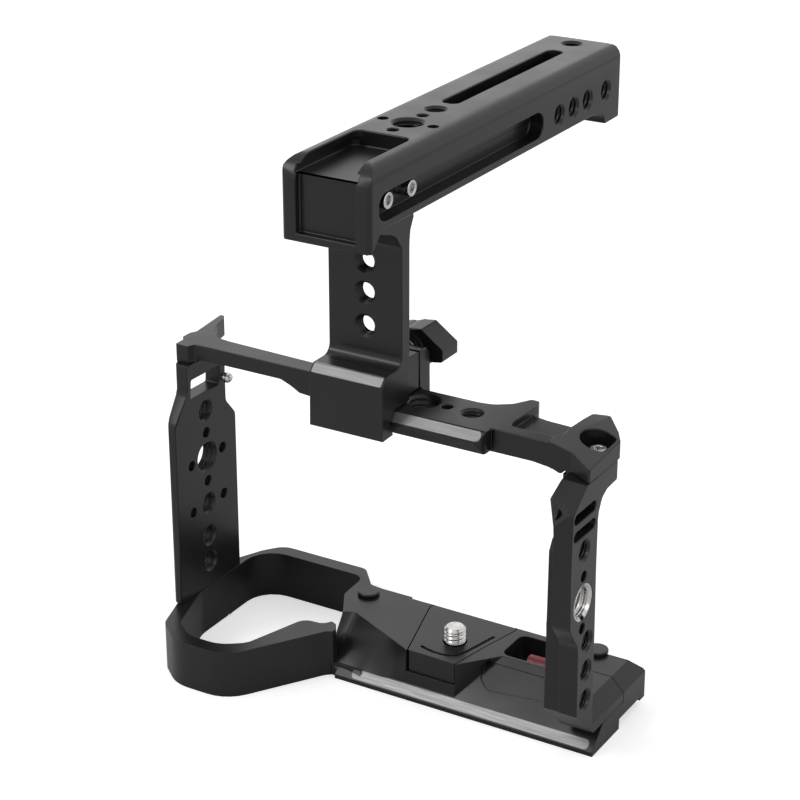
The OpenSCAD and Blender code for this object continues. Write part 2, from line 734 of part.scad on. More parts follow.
module seat_pad() color(anodised) {
    difference() {
        pad_shape(0, -pad_height, 0);
        plain_hole(screw_r + screw_gap, -pad_height - over, over);
        plain_hole(clip_size[0] + screw_gap, -pad_height - over, clip_z + clip_size[1] + head_gap);
        translate([0, 0, -groove_size[0]])
            linear_extrude(height = over)
                polygon(band(groove_line, groove_size[1]));
        for (p = pad_screw_places)
            translate([p[0], p[1], 0])
                plain_hole(flat_screw[0] + fit_gap, -pad_height - over, -over);
    }
}

module pad_screws() color(stainless) {
    for (p = pad_screw_places)
        translate([p[0], p[1], 0])
            flat_head_screw(recess_top, -over, flat_screw[0], flat_screw[1]);
}

module camera_screw() color(stainless) {
    difference() {
        union() {
            plain_hole(screw_neck[0], head_low, screw_up);
            plain_hole(screw_r, screw_neck[1], screw_up);
            plain_hole(screw_head[0], head_low, head_low + screw_head[1]);
        }
        block(
            [-screw_head[0] - over, -slot_cut[0] * half_share, head_low - over],
            [screw_head[0] + over, slot_cut[0] * half_share, head_low + slot_cut[1]]
        );
        translate([0, 0, clip_z])
            difference() {
                cylinder(r = screw_neck[0] + over, h = clip_size[1]);
                cylinder(r = screw_neck[0] - clip_bite, h = clip_size[1]);
            }
        translate([0, 0, screw_up - mouth])
            difference() {
                cylinder(r = screw_r + over, h = mouth + over);
                cylinder(r1 = screw_r, r2 = screw_r - mouth - over, h = mouth + over);
            }
    }
}

module screw_clip() color(stainless) {
    translate([0, 0, clip_z])
        difference() {
            cylinder(r = clip_size[0], h = clip_size[1]);
            translate([0, 0, -over])
                cylinder(r = screw_neck[0] - clip_bite, h = clip_size[1] + double_share * over);
        }
}

module anti_twist_pads() color(anodised) {
    for (p = stop_places)
        translate([p[0], p[1], 0]) {
            plain_hole(stop_stem[0], -stop_stem[1], 0);
            plain_hole(stop_size[0], 0, stop_size[1]);
        }
}

module tool_magnet() color(bare_metal) {
    translate([(barrel[0] + barrel[1]) * half_share, tool_axis[0], 0])
        plain_hole(magnet_size[0], -pocket_depth - magnet_size[1], -pocket_depth);
}

module tool_handle() color(tool_red) {
    translate([0, tool_axis[0], tool_axis[1]])
        along_x()
            difference() {
                plain_hole(barrel[2], barrel[0], barrel[1]);
                plain_hole(shank[1], barrel[1] - magnet_size[0] * double_share, barrel[1] + over);
            }
}

module tool_shank() color(stainless) {
    translate([0, tool_axis[0], tool_axis[1]])
        along_x()
            plain_hole(shank[1], barrel[1] - magnet_size[0] * double_share, shank[0]);
}

module grip_side_plate() color(anodised) {
    outer_x = plate_inner_x - plate_thick;
    difference() {
        union() {
            intersection() {
                side_slab(plate_outline, outer_x, plate_inner_x);
                plate_front_rounding();
            }
            block(
                [plate_inner_x - tongue_size[0] - tongue_size[1], tongue_y[0], plate_top_z[0] - over],
                [plate_inner_x - tongue_size[0], tongue_y[1], plate_top_z[1]]
            );
        }
        side_slab(plate_slot, outer_x - over, plate_inner_x + over);
        for (p = plate_quarter)
            translate([0, p[0], p[1]]) along_x() tapped(quarter_r, outer_x, plate_inner_x);
        translate([0, plate_large[0], plate_large[1]]) along_x() tapped(large_r, outer_x, plate_inner_x);
        for (p = plate_locating)
            translate([0, p[0], p[1]])
                along_x() plain_hole(locating_r, outer_x - over, plate_inner_x + over);
        for (p = ring_screw_places)
            translate([p[0], p[1], 0])
                plain_hole(flat_screw[0] + fit_gap, -over, ring_screw_top);
        for (p = plate_screw_places)
            translate([0, p[0], p[1]])
                along_x() plain_hole(plate_screw[0] + fit_gap, outer_x - over, plate_inner_x + over);
        translate([0, ball_at[1], ball_at[2]])
            along_x() plain_hole(ball_screw_r[0] + fit_gap, outer_x - over, plate_inner_x + over);
    }
}

// Block whose left front edge is rounded at each level.
module plate_front_rounding() {
    outer_x = plate_inner_x - plate_thick;
    loft([for (level = plate_levels) concat(
        [[plate_inner_x + over, level[1], level[0]], [plate_inner_x + over, plate_span_y, level[0]],
            [outer_x - over, plate_span_y, level[0]], [outer_x - over, level[1] + level[3], level[0]]],
        [for (k = [0:arc_steps - 1])
            let (angle = quarter_turn * (1 - k / arc_steps))
            [outer_x + level[2] * (1 - sin(angle)), level[1] + level[3] * (1 - cos(angle)), level[0]]],
        [[outer_x + level[2], level[1], level[0]]]
    )]);
}

module ring_screws() color(stainless) {
    for (p = ring_screw_places)
        translate([p[0], p[1], 0])
            flat_head_screw(-ring_height, ring_screw_top, flat_screw[0], flat_screw[1]);
}

module ball_screw() color(stainless) {
    outer_x = plate_inner_x - plate_thick;
    translate([0, ball_at[1], ball_at[2]]) {
        along_x() plain_hole(ball_screw_r[0], outer_x + seam_gap, ball_at[0]);
        translate([ball_at[0], 0, 0]) sphere(r = ball_screw_r[1]);
    }
}

module plate_screws() color(stainless) {
    outer_x = plate_inner_x - plate_thick;
    for (p = plate_screw_places)
        translate([outer_x, p[0], p[1]])
            along_x()
                difference() {
                    union() {
                        cylinder(r = plate_screw[0], h = plate_screw[2]);
                        cylinder(
                            r1 = plate_screw[1], r2 = plate_screw[0], h = plate_screw[1] - plate_screw[0]
                        );
                    }
                    block(
                        [-plate_screw[1], -plate_screw_slot[0] * half_share, -over],
                        [plate_screw[1], plate_screw_slot[0] * half_share, plate_screw_slot[1]]
                    );
                }
}

// Rail's section: Y, Z
function rail_section(grow, low) = [
    [rail_y - rail_half + rail_steps[2] - grow, low, 0],
    [rail_y + rail_half - rail_steps[2] + grow, low, 0],
    [rail_y + rail_half + grow, rail_low_z + rail_steps[3], 0],
    [rail_y + rail_half + grow, rail_top_z - rail_steps[0], 0],
    [rail_y + rail_half - rail_steps[0] + grow * half_share, rail_top_z + grow, 0],
    [rail_y - rail_half + rail_steps[0] - grow * half_share, rail_top_z + grow, 0],
    [rail_y - rail_half - grow, rail_top_z - rail_steps[0], 0],
    [rail_y - rail_half - grow, rail_low_z + rail_steps[3], 0]
];

module top_bar() color(anodised) {
    difference() {
        union() {
            intersection() {
                plan_slab(bar_left_plan, bar_low_z - rail_steps[3], bar_top_z);
                front_slab(bar_left_front, -span * half_share, span * half_share);
            }
            difference() {
                side_slab(rail_section(0, rail_low_z), rail_x[0], rail_x[1]);
                rail_end_cut();
            }
            intersection() {
                plan_slab(bar_right_plan, seam_z - over * double_share, bar_top_z);
                front_slab(bar_right_front, -span * half_share, span * half_share);
                block_top_keep();
            }
        }
        plan_slab(step_plan, rail_top_z - step_drop, bar_top_z + over);
        translate([rail_large[0], rail_large[1], 0]) tapped(large_r, rail_low_z, rail_top_z);
        translate([rail_quarter[0], rail_quarter[1], 0]) tapped(quarter_r, rail_low_z, rail_top_z);
        translate([rail_small[0], rail_small[1], 0])
            plain_hole(locating_r, rail_low_z - over, rail_top_z + over);
        intersection() {
            translate([corner_axis[0], corner_axis[1], 0])
                plain_hole(corner_bore[0], corner_bore[1], bar_top_z + over);
            block([0, -span * half_share, 0], [end_x - corner_wall, span * half_share, span]);
        }
        translate([corner_axis[0], corner_axis[1], 0])
            plain_hole(small_screw[0] + fit_gap, seam_z - over, bar_top_z);
        tongue_room();
        for (p = plate_screw_places)
            translate([plate_inner_x - plate_thick, p[0], p[1]])
                along_x() {
                    head_r = plate_screw[1] + fit_gap;
                    shank_r = plate_screw[0] + fit_gap;
                    plain_hole(shank_r, -over, plate_screw[2]);
                    plain_hole(head_r, -over * double_share, 0);
                    cylinder(r1 = head_r, r2 = shank_r, h = head_r - shank_r);
                }
    }
}

// Room in the bar for the plate's tongue, open below.
module tongue_room() {
    tongue_x = plate_inner_x - tongue_size[0];
    block(
        [tongue_x - tongue_size[1] - seam_gap, tongue_y[0] - seam_gap, bar_low_z - over * double_share],
        [tongue_x + seam_gap, tongue_y[1] + seam_gap, plate_top_z[1] + seam_gap]
    );
}

// The rail's rounded right end, cut at the front only.
module rail_end_cut() {
    radius = rail_steps[0] + rail_steps[1];
    translate([rail_x[1] - radius, rail_y - rail_half, rail_low_z - over])
        difference() {
            translate([0, -over, 0]) cube([radius + over, radius + over, rail_width]);
            translate([0, radius, -over]) cylinder(r = radius, h = rail_width + over * double_share);
        }
}

// Everything under the plane of the corner block's top and under the rail's level.
module block_top_keep() {
    union() {
        block([rail_x[0], -span * half_share, 0], [block_split_x, span * half_share, rail_top_z]);
        intersection() {
            block(
                [block_split_x - over, -span * half_share, 0],
                [end_x + over, span * half_share, block_cap_z]
            );
            translate(block_top)
                rotate([-block_slope[1], -block_slope[0], 0])
                    translate([-span * half_share, -span * half_share, -span])
                        cube([span, span, span]);
        }
    }
}

module side_arm() color(anodised) {
    difference() {
        union() {
            side_slab(arm_flange, arm_inner_x[0], end_x);
            side_slab(arm_strip, arm_inner_x[1], arm_inner_x[0] + over);
            side_slab(arm_block, arm_mid_plan[0][0], end_x);
            hull() {
                arm_layer(arm_low_plan, arm_levels[0]);
                arm_layer(arm_mid_plan, arm_levels[1]);
            }
            hull() {
                arm_layer(arm_mid_plan, arm_levels[1]);
                arm_layer(arm_top_plan, arm_levels[2] - seam_gap);
            }
        }
        block([0, -span * half_share, seam_z], [span, span * half_share, span]);
        block([0, -span * half_share, lip_room[1]], [lip_room[0], span * half_share, span]);
        end_bevel_cut_foot();
        for (z = strap_z)
            strap_slot(z);
        for (p = arm_quarter)
            translate([0, p[0], p[1]])
                along_x()
                    if (p[1] > flange_only_z)
                        blind_tapped(quarter_r, arm_inner_x[0] + flange_wall, end_x);
                    else
                        tapped(quarter_r, arm_inner_x[1], end_x);
        for (p = arm_locating)
            translate([0, p[0], p[1]])
                along_x() plain_hole(locating_r, arm_inner_x[0] + flange_wall, end_x + over);
        translate([0, arm_insert_at[0], arm_insert_at[1]])
            along_x() plain_hole(insert_r + fit_gap, arm_inner_x[0], end_x + over);
        for (p = foot_screw_places)
            translate([p[0], p[1], 0])
                plain_hole(flat_screw[0] + fit_gap, foot_limits[2] - over, -over * double_share);
        translate([corner_axis[0], corner_axis[1], 0])
            plain_hole(small_screw[0] + fit_gap, corner_screw_low, seam_z + over);
    }
}

module arm_layer(outline, z) {
    translate([0, 0, z])
        linear_extrude(height = seam_gap)
            polygon(outline);
}

module strap_slot(z) {
    radius = strap_w * half_share;
    inner_x = arm_inner_x[0] - strap_run;
    hull()
        for (y = [strap_y[0] + radius, strap_y[1] - radius])
            translate([0, y, z])
                along_x()
                    translate([0, 0, inner_x])
                        cylinder(r = radius, h = end_x - inner_x + over);
}

module end_bevel_cut_foot() {
    intersection() {
        end_bevel_cut();
        block([0, arm_rear_y, -span], [span, span, over]);
    }
}

module arm_insert() color(stainless) {
    translate([0, arm_insert_at[0], arm_insert_at[1]])
        along_x()
            difference() {
                plain_hole(insert_r, arm_inner_x[0], end_x);
                tapped(large_r, arm_inner_x[0], end_x);
                block(
                    [-insert_r - over, -slot_cut[0], end_x - slot_cut[1]],
                    [insert_r + over, slot_cut[0], end_x + over]
                );
            }
}

module foot_screws() color(stainless) {
    for (p = foot_screw_places)
        translate([p[0], p[1], 0])
            flat_head_screw(base_low, -over * double_share, flat_screw[0], flat_screw[1]);
}

module corner_screw() color(stainless) {
    translate([corner_axis[0], corner_axis[1], 0])
        difference() {
            union() {
                plain_hole(small_screw[0], corner_screw_low, corner_bore[1] + over);
                plain_hole(small_screw[1], corner_bore[1], corner_bore[1] + corner_head);
            }
            hex_socket(corner_bore[1] + corner_head);
        }
}

module clamp_riser() color(anodised) {
    half = riser_w * half_share;
    difference() {
        union() {
            side_slab(riser_outline, carriage_x - half, carriage_x + half);
            block(
                [carriage_x - tongue_half_w, tongue_block[0], handle_low_z - over],
                [carriage_x + tongue_half_w, tongue_block[1], tongue_block[2]]
            );
        }
        side_slab(rail_section(rail_gap, rail_low_z - over), carriage_x - riser_w, carriage_x + riser_w);
        for (side = [-1, 1])
            clamp_trim(side);
        for (z = riser_holes)
            translate([carriage_x, 0, z])
                along_y() tapped(quarter_r, riser_y[0], riser_y[1]);
        translate([carriage_x, 0, clamp_screw_z])
            along_y()
                plain_hole(clamp_screw_size[0] + running_gap, knob_y[0] - clamp_screw_size[1] - over, over);
        for (side = [-1, 1])
            translate([carriage_x + side * guide[2], 0, clamp_screw_z])
                along_y() plain_hole(guide[0] + fit_gap, guide_y, over);
        for (p = handle_screw_places)
            translate([carriage_x + tongue_half_w, p[0], p[1]])
                along_x()
                    plain_hole(small_screw[0] + fit_gap, -handle_screw_depth, over);
    }
}

// Cut that narrows the clamp behind the riser on one side.
module clamp_trim(side) {
    inner = carriage_x + side * jaw_w * half_share;
    outer = carriage_x + side * riser_w;
    block([min(inner, outer), riser_y[1], clamp_z[0] - over], [max(inner, outer), over, clamp_z[1] + over]);
}

module rear_jaw() color(anodised) {
    half = jaw_w * half_share;
    section = [
        [jaw_y[0], clamp_z[0], jaw_rounds[0]], [jaw_y[1], clamp_z[0], jaw_rounds[1]],
        [jaw_y[1], clamp_z[1], jaw_rounds[2]], [jaw_y[0], clamp_z[1], jaw_rounds[0]]
    ];
    difference() {
        side_slab(section, carriage_x - half, carriage_x + half);
        side_slab(rail_section(rail_gap, rail_low_z - over), carriage_x - jaw_w, carriage_x + jaw_w);
        block([carriage_x - jaw_w, jaw_y[0] - over, clamp_z[0] - over],
            [carriage_x + jaw_w, rail_y + rail_half - rail_steps[2] + rail_gap, rail_low_z]);
        translate([carriage_x, 0, clamp_screw_z])
            along_y() {
                plain_hole(clamp_screw_size[0] + screw_gap, jaw_y[0] - over, jaw_y[1] + over);
                translate([0, 0, jaw_y[0]])
                    plain_hole(retainer_size[0] + screw_gap, -over, retainer_size[1] + screw_gap);
            }
        for (side = [-1, 1])
            translate([carriage_x + side * guide[2], 0, clamp_screw_z])
                along_y() plain_hole(guide[0] + running_gap, jaw_y[0] - over, jaw_y[1] - jaw_wall);
    }
}

module guide_pins() color(stainless) {
    for (side = [-1, 1])
        translate([carriage_x + side * guide[2], 0, clamp_screw_z])
            along_y() plain_hole(guide[0], guide_y, guide_y + guide[1]);
}

module clamp_screw() color(stainless) {
    translate([carriage_x, 0, clamp_screw_z])
        along_y()
            difference() {
                plain_hole(clamp_screw_size[0], knob_y[0] - clamp_screw_size[1], knob_y[1] - knob_wall);
                translate([0, 0, jaw_y[0] + fit_gap])
                    difference() {
                        cylinder(r = clamp_screw_size[0] + over, h = retainer_size[1]);
                        cylinder(r = clamp_screw_size[0] - mouth, h = retainer_size[1]);
                    }
            }
}

module screw_retainer() color(stainless) {
    translate([carriage_x, 0, clamp_screw_z])
        along_y()
            translate([0, 0, jaw_y[0] + fit_gap])
                difference() {
                    cylinder(r = retainer_size[0], h = retainer_size[1]);
                    plain_hole(clamp_screw_size[0] - mouth, -over, retainer_size[1] + over);
                }
}

module knob_washer() color(stainless) {
    translate([carriage_x, 0, clamp_screw_z])
        along_y()
            difference() {
                plain_hole(washer_r, jaw_y[1], knob_y[0] - seam_gap);
                plain_hole(clamp_screw_size[0] + screw_gap, jaw_y[1] - over, knob_y[0] + over);
            }
}

module wing_knob() color(anodised) {
    difference() {
        translate([carriage_x, 0, clamp_screw_z]) {
            front_slab(knob_outline, knob_y[0] + knob_step, knob_y[1]);
            along_y() plain_hole(knob_hub_r, knob_y[0], knob_y[1] - knob_step);
        }
        translate([carriage_x, 0, clamp_screw_z])
            along_y() plain_hole(clamp_screw_size[0] + fit_gap, knob_y[0] - over, knob_y[1] + over);
    }
}

module handle_bar() color(anodised) {
    half = handle_w * half_share;
    section = [
        [carriage_x - half, foot_z[0] - over, 0], [carriage_x + half, foot_z[0] - over, 0],
        [carriage_x + half, handle_top_z, handle_round], [carriage_x - half, handle_top_z, handle_round]
    ];
    difference() {
        intersection() {
            side_slab(handle_side, carriage_x - half, carriage_x + half);
            front_slab(section, handle_y[0] - over, handle_y[1] + over);
            translate([carriage_x, 0, 0])
                plan_slab([
                    [-half, handle_y[0], handle_corners[0]], [half, handle_y[0], handle_corners[0]],
                    [half, handle_y[1], handle_corners[1]], [-half, handle_y[1], handle_corners[1]]
                ], foot_z[0] - over, handle_top_z + over);
        }
        translate([carriage_x, 0, 0])
            block(
                [-tongue_half_w - tongue_gap, tongue_block[0] - tongue_gap, handle_low_z - over],
                [tongue_half_w + tongue_gap, tongue_block[1] + tongue_gap, tongue_block[2] + tongue_gap]
            );
        shoe_cut();
        block(
            [carriage_x - half + front_panel[1], handle_y[0] - over, foot_z[0] + front_panel[2]],
            [carriage_x + half - front_panel[1], handle_y[0] + front_panel[0], handle_top_z + over]
        );
        translate([carriage_x, 0, 0])
            plan_slab(slot_outline(top_slot[0], top_slot[1], top_slot[2]),
                handle_top_z - top_slot_depth, handle_top_z + over);
        for (side = [-1, 1])
            side_slot_cut(side);
        for (i = [0, 1])
            translate([carriage_x, handle_quarter[i], 0])
                blind_tapped(quarter_r, handle_top_z - quarter_depths[i], handle_top_z);
        translate([carriage_x, handle_large_y, 0])
            blind_tapped(large_r, handle_top_z - large_depth, handle_top_z);
        for (turn = [0, 1, 2, 3])
            translate([carriage_x, handle_large_y, 0])
                rotate([0, 0, turn * quarter_turn])
                    translate([locating_pitch, 0, 0])
                        plain_hole(locating_r, handle_top_z - locating_depth, handle_top_z + over);
        for (y = handle_side_holes)
            translate([carriage_x, y, side_slot_z]) along_x() tapped(quarter_r, -half, half);
        for (p = handle_screw_places)
            translate([carriage_x, p[0], p[1]])
                along_x() plain_hole(small_screw[0] + fit_gap, 0, half);
    }
}

// Slot outline along Y with round ends, centred on X.
function slot_outline(front, rear, width) =
    let (half = width * half_share, near = half * nearly_share)
    [[-half, front, near], [half, front, near], [half, rear, near], [-half, rear, near]];

module side_slot_cut(side) {
    half = handle_w * half_share;
    near = side_slot[2] * half_share * nearly_share;
    outline = [
        [side_slot[0], side_slot_z - side_slot[2] * half_share, near],
        [side_slot[1], side_slot_z - side_slot[2] * half_share, near],
        [side_slot[1], side_slot_z + side_slot[2] * half_share, near],
        [side_slot[0], side_slot_z + side_slot[2] * half_share, near]
    ];
    inner = carriage_x + side * (half - side_slot_depth);
    outer = carriage_x + side * (half + over);
    side_slab(outline, min(inner, outer), max(inner, outer));
}

module shoe_cut() {
    front = handle_y[0] - over;
    opening = shoe[1] * half_share;
    groove = shoe[2] * half_share;
    translate([carriage_x, 0, 0]) {
        plan_slab([
            [-opening, front, 0], [opening, front, 0],
            [opening, shoe_rear_y, shoe_corner], [-opening, shoe_rear_y, shoe_corner]
        ], shoe_floor_z, handle_top_z + over);
        plan_slab([
            [-groove, front, 0], [groove, front, 0],
            [groove, shoe_rear_y, shoe_corner], [-groove, shoe_rear_y, shoe_corner]
        ], shoe_floor_z, shoe_floor_z + shoe[3]);
    }
}

module handle_screws() color(stainless) {
    seat = handle_w * half_share - side_slot_depth;
    for (p = handle_screw_places)
        translate([carriage_x, p[0], p[1]])
            along_x()
                difference() {
                    union() {
                        plain_hole(small_screw[0], tongue_half_w - handle_screw_depth, seat);
                        plain_hole(small_screw[1], seat, seat + handle_screw_head);
                    }
                    hex_socket(seat + handle_screw_head);
                }
}

// Six-sided socket down from a screw's top.
module hex_socket(top_z) {
    translate([0, 0, top_z - socket[1]])
        cylinder(r = socket[0], h = socket[1] + over, $fn = socket_sides);
}

base_plate();
seat_pad();
pad_screws();
camera_screw();
screw_clip();
anti_twist_pads();
tool_magnet();
tool_handle();
tool_shank();
grip_side_plate();
ring_screws();
ball_screw();
plate_screws();
top_bar();
side_arm();
arm_insert();
foot_screws();
corner_screw();
clamp_riser();
rear_jaw();
guide_pins();
clamp_screw();
screw_retainer();
knob_washer();
wing_knob();
handle_bar();
handle_screws();
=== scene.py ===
"""Looks of a black camera cage with a rail clamp and a top handle.

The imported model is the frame. Every machined piece here is a copy of its CAD node with its
doubles merged, its threads cut and its edges rounded, and it stands for that node.
Sizes in the classes are in millimetres, in the row frame: X to the right seen from the front,
Y to the rear, Z up, from the camera screw's axis at the seat face.
"""

from __future__ import annotations

import json
import logging
import math
from dataclasses import dataclass, field
from enum import Enum

import bmesh
import bpy
import numpy as np
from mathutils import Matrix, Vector

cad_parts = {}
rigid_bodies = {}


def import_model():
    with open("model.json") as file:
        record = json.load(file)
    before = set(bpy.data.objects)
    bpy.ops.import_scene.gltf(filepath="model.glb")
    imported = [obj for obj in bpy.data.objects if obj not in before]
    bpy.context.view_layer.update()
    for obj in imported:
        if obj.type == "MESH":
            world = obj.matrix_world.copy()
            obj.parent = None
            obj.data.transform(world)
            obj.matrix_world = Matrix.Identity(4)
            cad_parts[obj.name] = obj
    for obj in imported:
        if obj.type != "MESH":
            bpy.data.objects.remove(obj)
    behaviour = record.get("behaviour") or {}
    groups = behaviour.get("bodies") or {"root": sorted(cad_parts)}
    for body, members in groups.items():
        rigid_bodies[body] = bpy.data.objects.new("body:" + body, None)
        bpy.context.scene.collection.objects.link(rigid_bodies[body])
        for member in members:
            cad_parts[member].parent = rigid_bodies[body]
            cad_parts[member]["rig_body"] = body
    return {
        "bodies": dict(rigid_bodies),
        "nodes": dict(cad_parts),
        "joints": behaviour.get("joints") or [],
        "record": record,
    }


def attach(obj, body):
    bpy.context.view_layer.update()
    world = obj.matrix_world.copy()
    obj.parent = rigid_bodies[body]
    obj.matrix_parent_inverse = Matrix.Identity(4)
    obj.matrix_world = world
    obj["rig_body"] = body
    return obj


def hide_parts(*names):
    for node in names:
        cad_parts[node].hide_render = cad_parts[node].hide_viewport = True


MM = 0.001
LOG = logging.getLogger("camera_cage")

MERGE_REACH = 0.002 * MM
FLAT_TURN = math.radians(0.05)
SHARP_TURN = math.radians(33)
ROUNDED_TURN = math.radians(28)
ROUNDING_STEPS = 2
WIDE_ENOUGH = 0.7
ACROSS_LIMIT = 0.3

Point = tuple[float, float, float]
Colour = tuple[float, float, float]


class Slot(Enum):
    """Material slots of the record."""

    ANODISED = "anodised"
    STAINLESS = "stainless"
    TOOL_RED = "tool_red"
    MAGNET = "magnet"


class Axis(Enum):
    """Row axis of a hole or shank, with its two cross directions in right-hand order."""

    X = ((1, 0, 0), (0, 1, 0), (0, 0, 1))
    Y = ((0, 1, 0), (0, 0, 1), (1, 0, 0))
    Z = ((0, 0, 1), (1, 0, 0), (0, 1, 0))

    def frame(self) -> tuple[np.ndarray, np.ndarray, np.ndarray]:
        """Returns the axis and the two cross directions as arrays."""
        along, first, second = self.value
        return np.array(along, float), np.array(first, float), np.array(second, float)


class ThreadForm(Enum):
    """Pitch, depth and a tapped hole's crest radius of the threads, in millimetres."""

    QUARTER_INCH = (1.27, 0.56, 2.6)
    LARGE = (1.5875, 0.7, 4.0)

    @property
    def pitch(self) -> float:
        """Advance per turn."""
        return self.value[0]

    @property
    def depth(self) -> float:
        """Depth of the groove below the crests."""
        return self.value[1]

    @property
    def hole_radius(self) -> float:
        """Radius of the crests in a tapped hole."""
        return self.value[2]


@dataclass(frozen=True)
class ThreadedWall:
    """One round wall that carries a thread.

    The CAD wall is plain, at the radius of the crests. Its faces are taken out of the copy and
    a helical groove takes their place, deeper into the metal.
    """

    centre: Point
    axis: Axis
    radius: float
    length: float
    form: ThreadForm
    is_hole: bool = True
    around: int = 32
    rows_per_turn: int = 8
    fade_turns: float = 0.13
    groove_power: float = 0.8
    radius_play: float = 0.04
    end_play: float = 0.05

    def surface(self) -> tuple[np.ndarray, np.ndarray]:
        """Works out the helical groove on a grid of angle and height.

        The radius at angle a and height s is the crest radius plus the depth times
        (0.5 - 0.5 cos(2 pi (s / pitch - a / 2 pi))) raised to the groove power, times a fade that
        is 0 at both ends and 1 from the fade's turns inwards. The depth counts outwards in a hole
        and inwards on a shank.

        Returns:
            The points in metres, one row per grid point, and the quads that join them.
        """
        along, first, second = self.axis.frame()
        rows = max(4, round(self.length / self.form.pitch * self.rows_per_turn)) + 1
        angle = np.linspace(0, 2 * np.pi, self.around, endpoint=False)[None, :]
        height = np.linspace(-self.length / 2, self.length / 2, rows)[:, None]
        to_end = self.length / 2 - np.abs(height)
        fade = np.clip(to_end / (self.form.pitch * self.fade_turns), 0, 1)
        groove = 0.5 - 0.5 * np.cos(2 * np.pi * (height / self.form.pitch - angle / (2 * np.pi)))
        sign = 1 if self.is_hole else -1
        radius = self.radius + sign * self.form.depth * fade * groove**self.groove_power
        ring = (
            radius[..., None] * np.cos(angle)[..., None] * first
            + radius[..., None] * np.sin(angle)[..., None] * second
        )
        points = np.array(self.centre) + ring + height[..., None] * along
        quads = grid_quads(rows, self.around, closed=True)
        if self.is_hole:
            quads = quads[:, ::-1]
        return points.reshape(-1, 3) * MM, quads

    def holds(self, points: np.ndarray) -> np.ndarray:
        """Tells which points lie on the plain wall.

        Args:
            points: Points in metres, one per row.

        Returns:
            One truth value per point.
        """
        along, _, _ = self.axis.frame()
        offset = points / MM - np.array(self.centre)
        height = offset @ along
        radius = np.linalg.norm(offset - height[:, None] * along, axis=1)
        on_radius = np.abs(radius - self.radius) < self.radius_play
        return on_radius & (np.abs(height) < self.length / 2 + self.end_play)


def quarter_hole(centre: Point, axis: Axis, length: float) -> ThreadedWall:
    """Describes a hole tapped for quarter-inch screws.

    Args:
        centre: Middle of the wall, in millimetres.
        axis: Direction of the hole.
        length: Length of the wall, in millimetres.

    Returns:
        The threaded wall.
    """
    form = ThreadForm.QUARTER_INCH
    return ThreadedWall(centre, axis, form.hole_radius, length, form)


def large_hole(centre: Point, axis: Axis, length: float) -> ThreadedWall:
    """Describes a hole tapped for three-eighth-inch screws.

    Args:
        centre: Middle of the wall, in millimetres.
        axis: Direction of the hole.
        length: Length of the wall, in millimetres.

    Returns:
        The threaded wall.
    """
    form = ThreadForm.LARGE
    return ThreadedWall(centre, axis, form.hole_radius, length, form, around=40)


def grid_quads(rows: int, columns: int, closed: bool) -> np.ndarray:
    """Quads of a grid whose points run column by column within each row.

    Args:
        rows: Number of rows.
        columns: Number of points in a row.
        closed: Whether the last column joins the first.

    Returns:
        One row of four point numbers per quad.
    """
    row, column = np.meshgrid(
        np.arange(rows - 1), np.arange(columns if closed else columns - 1), indexing="ij"
    )
    after = (column + 1) % columns
    corners = (
        row * columns + column,
        row * columns + after,
        (row + 1) * columns + after,
        (row + 1) * columns + column,
    )
    return np.stack(corners, axis=-1).reshape(-1, 4)


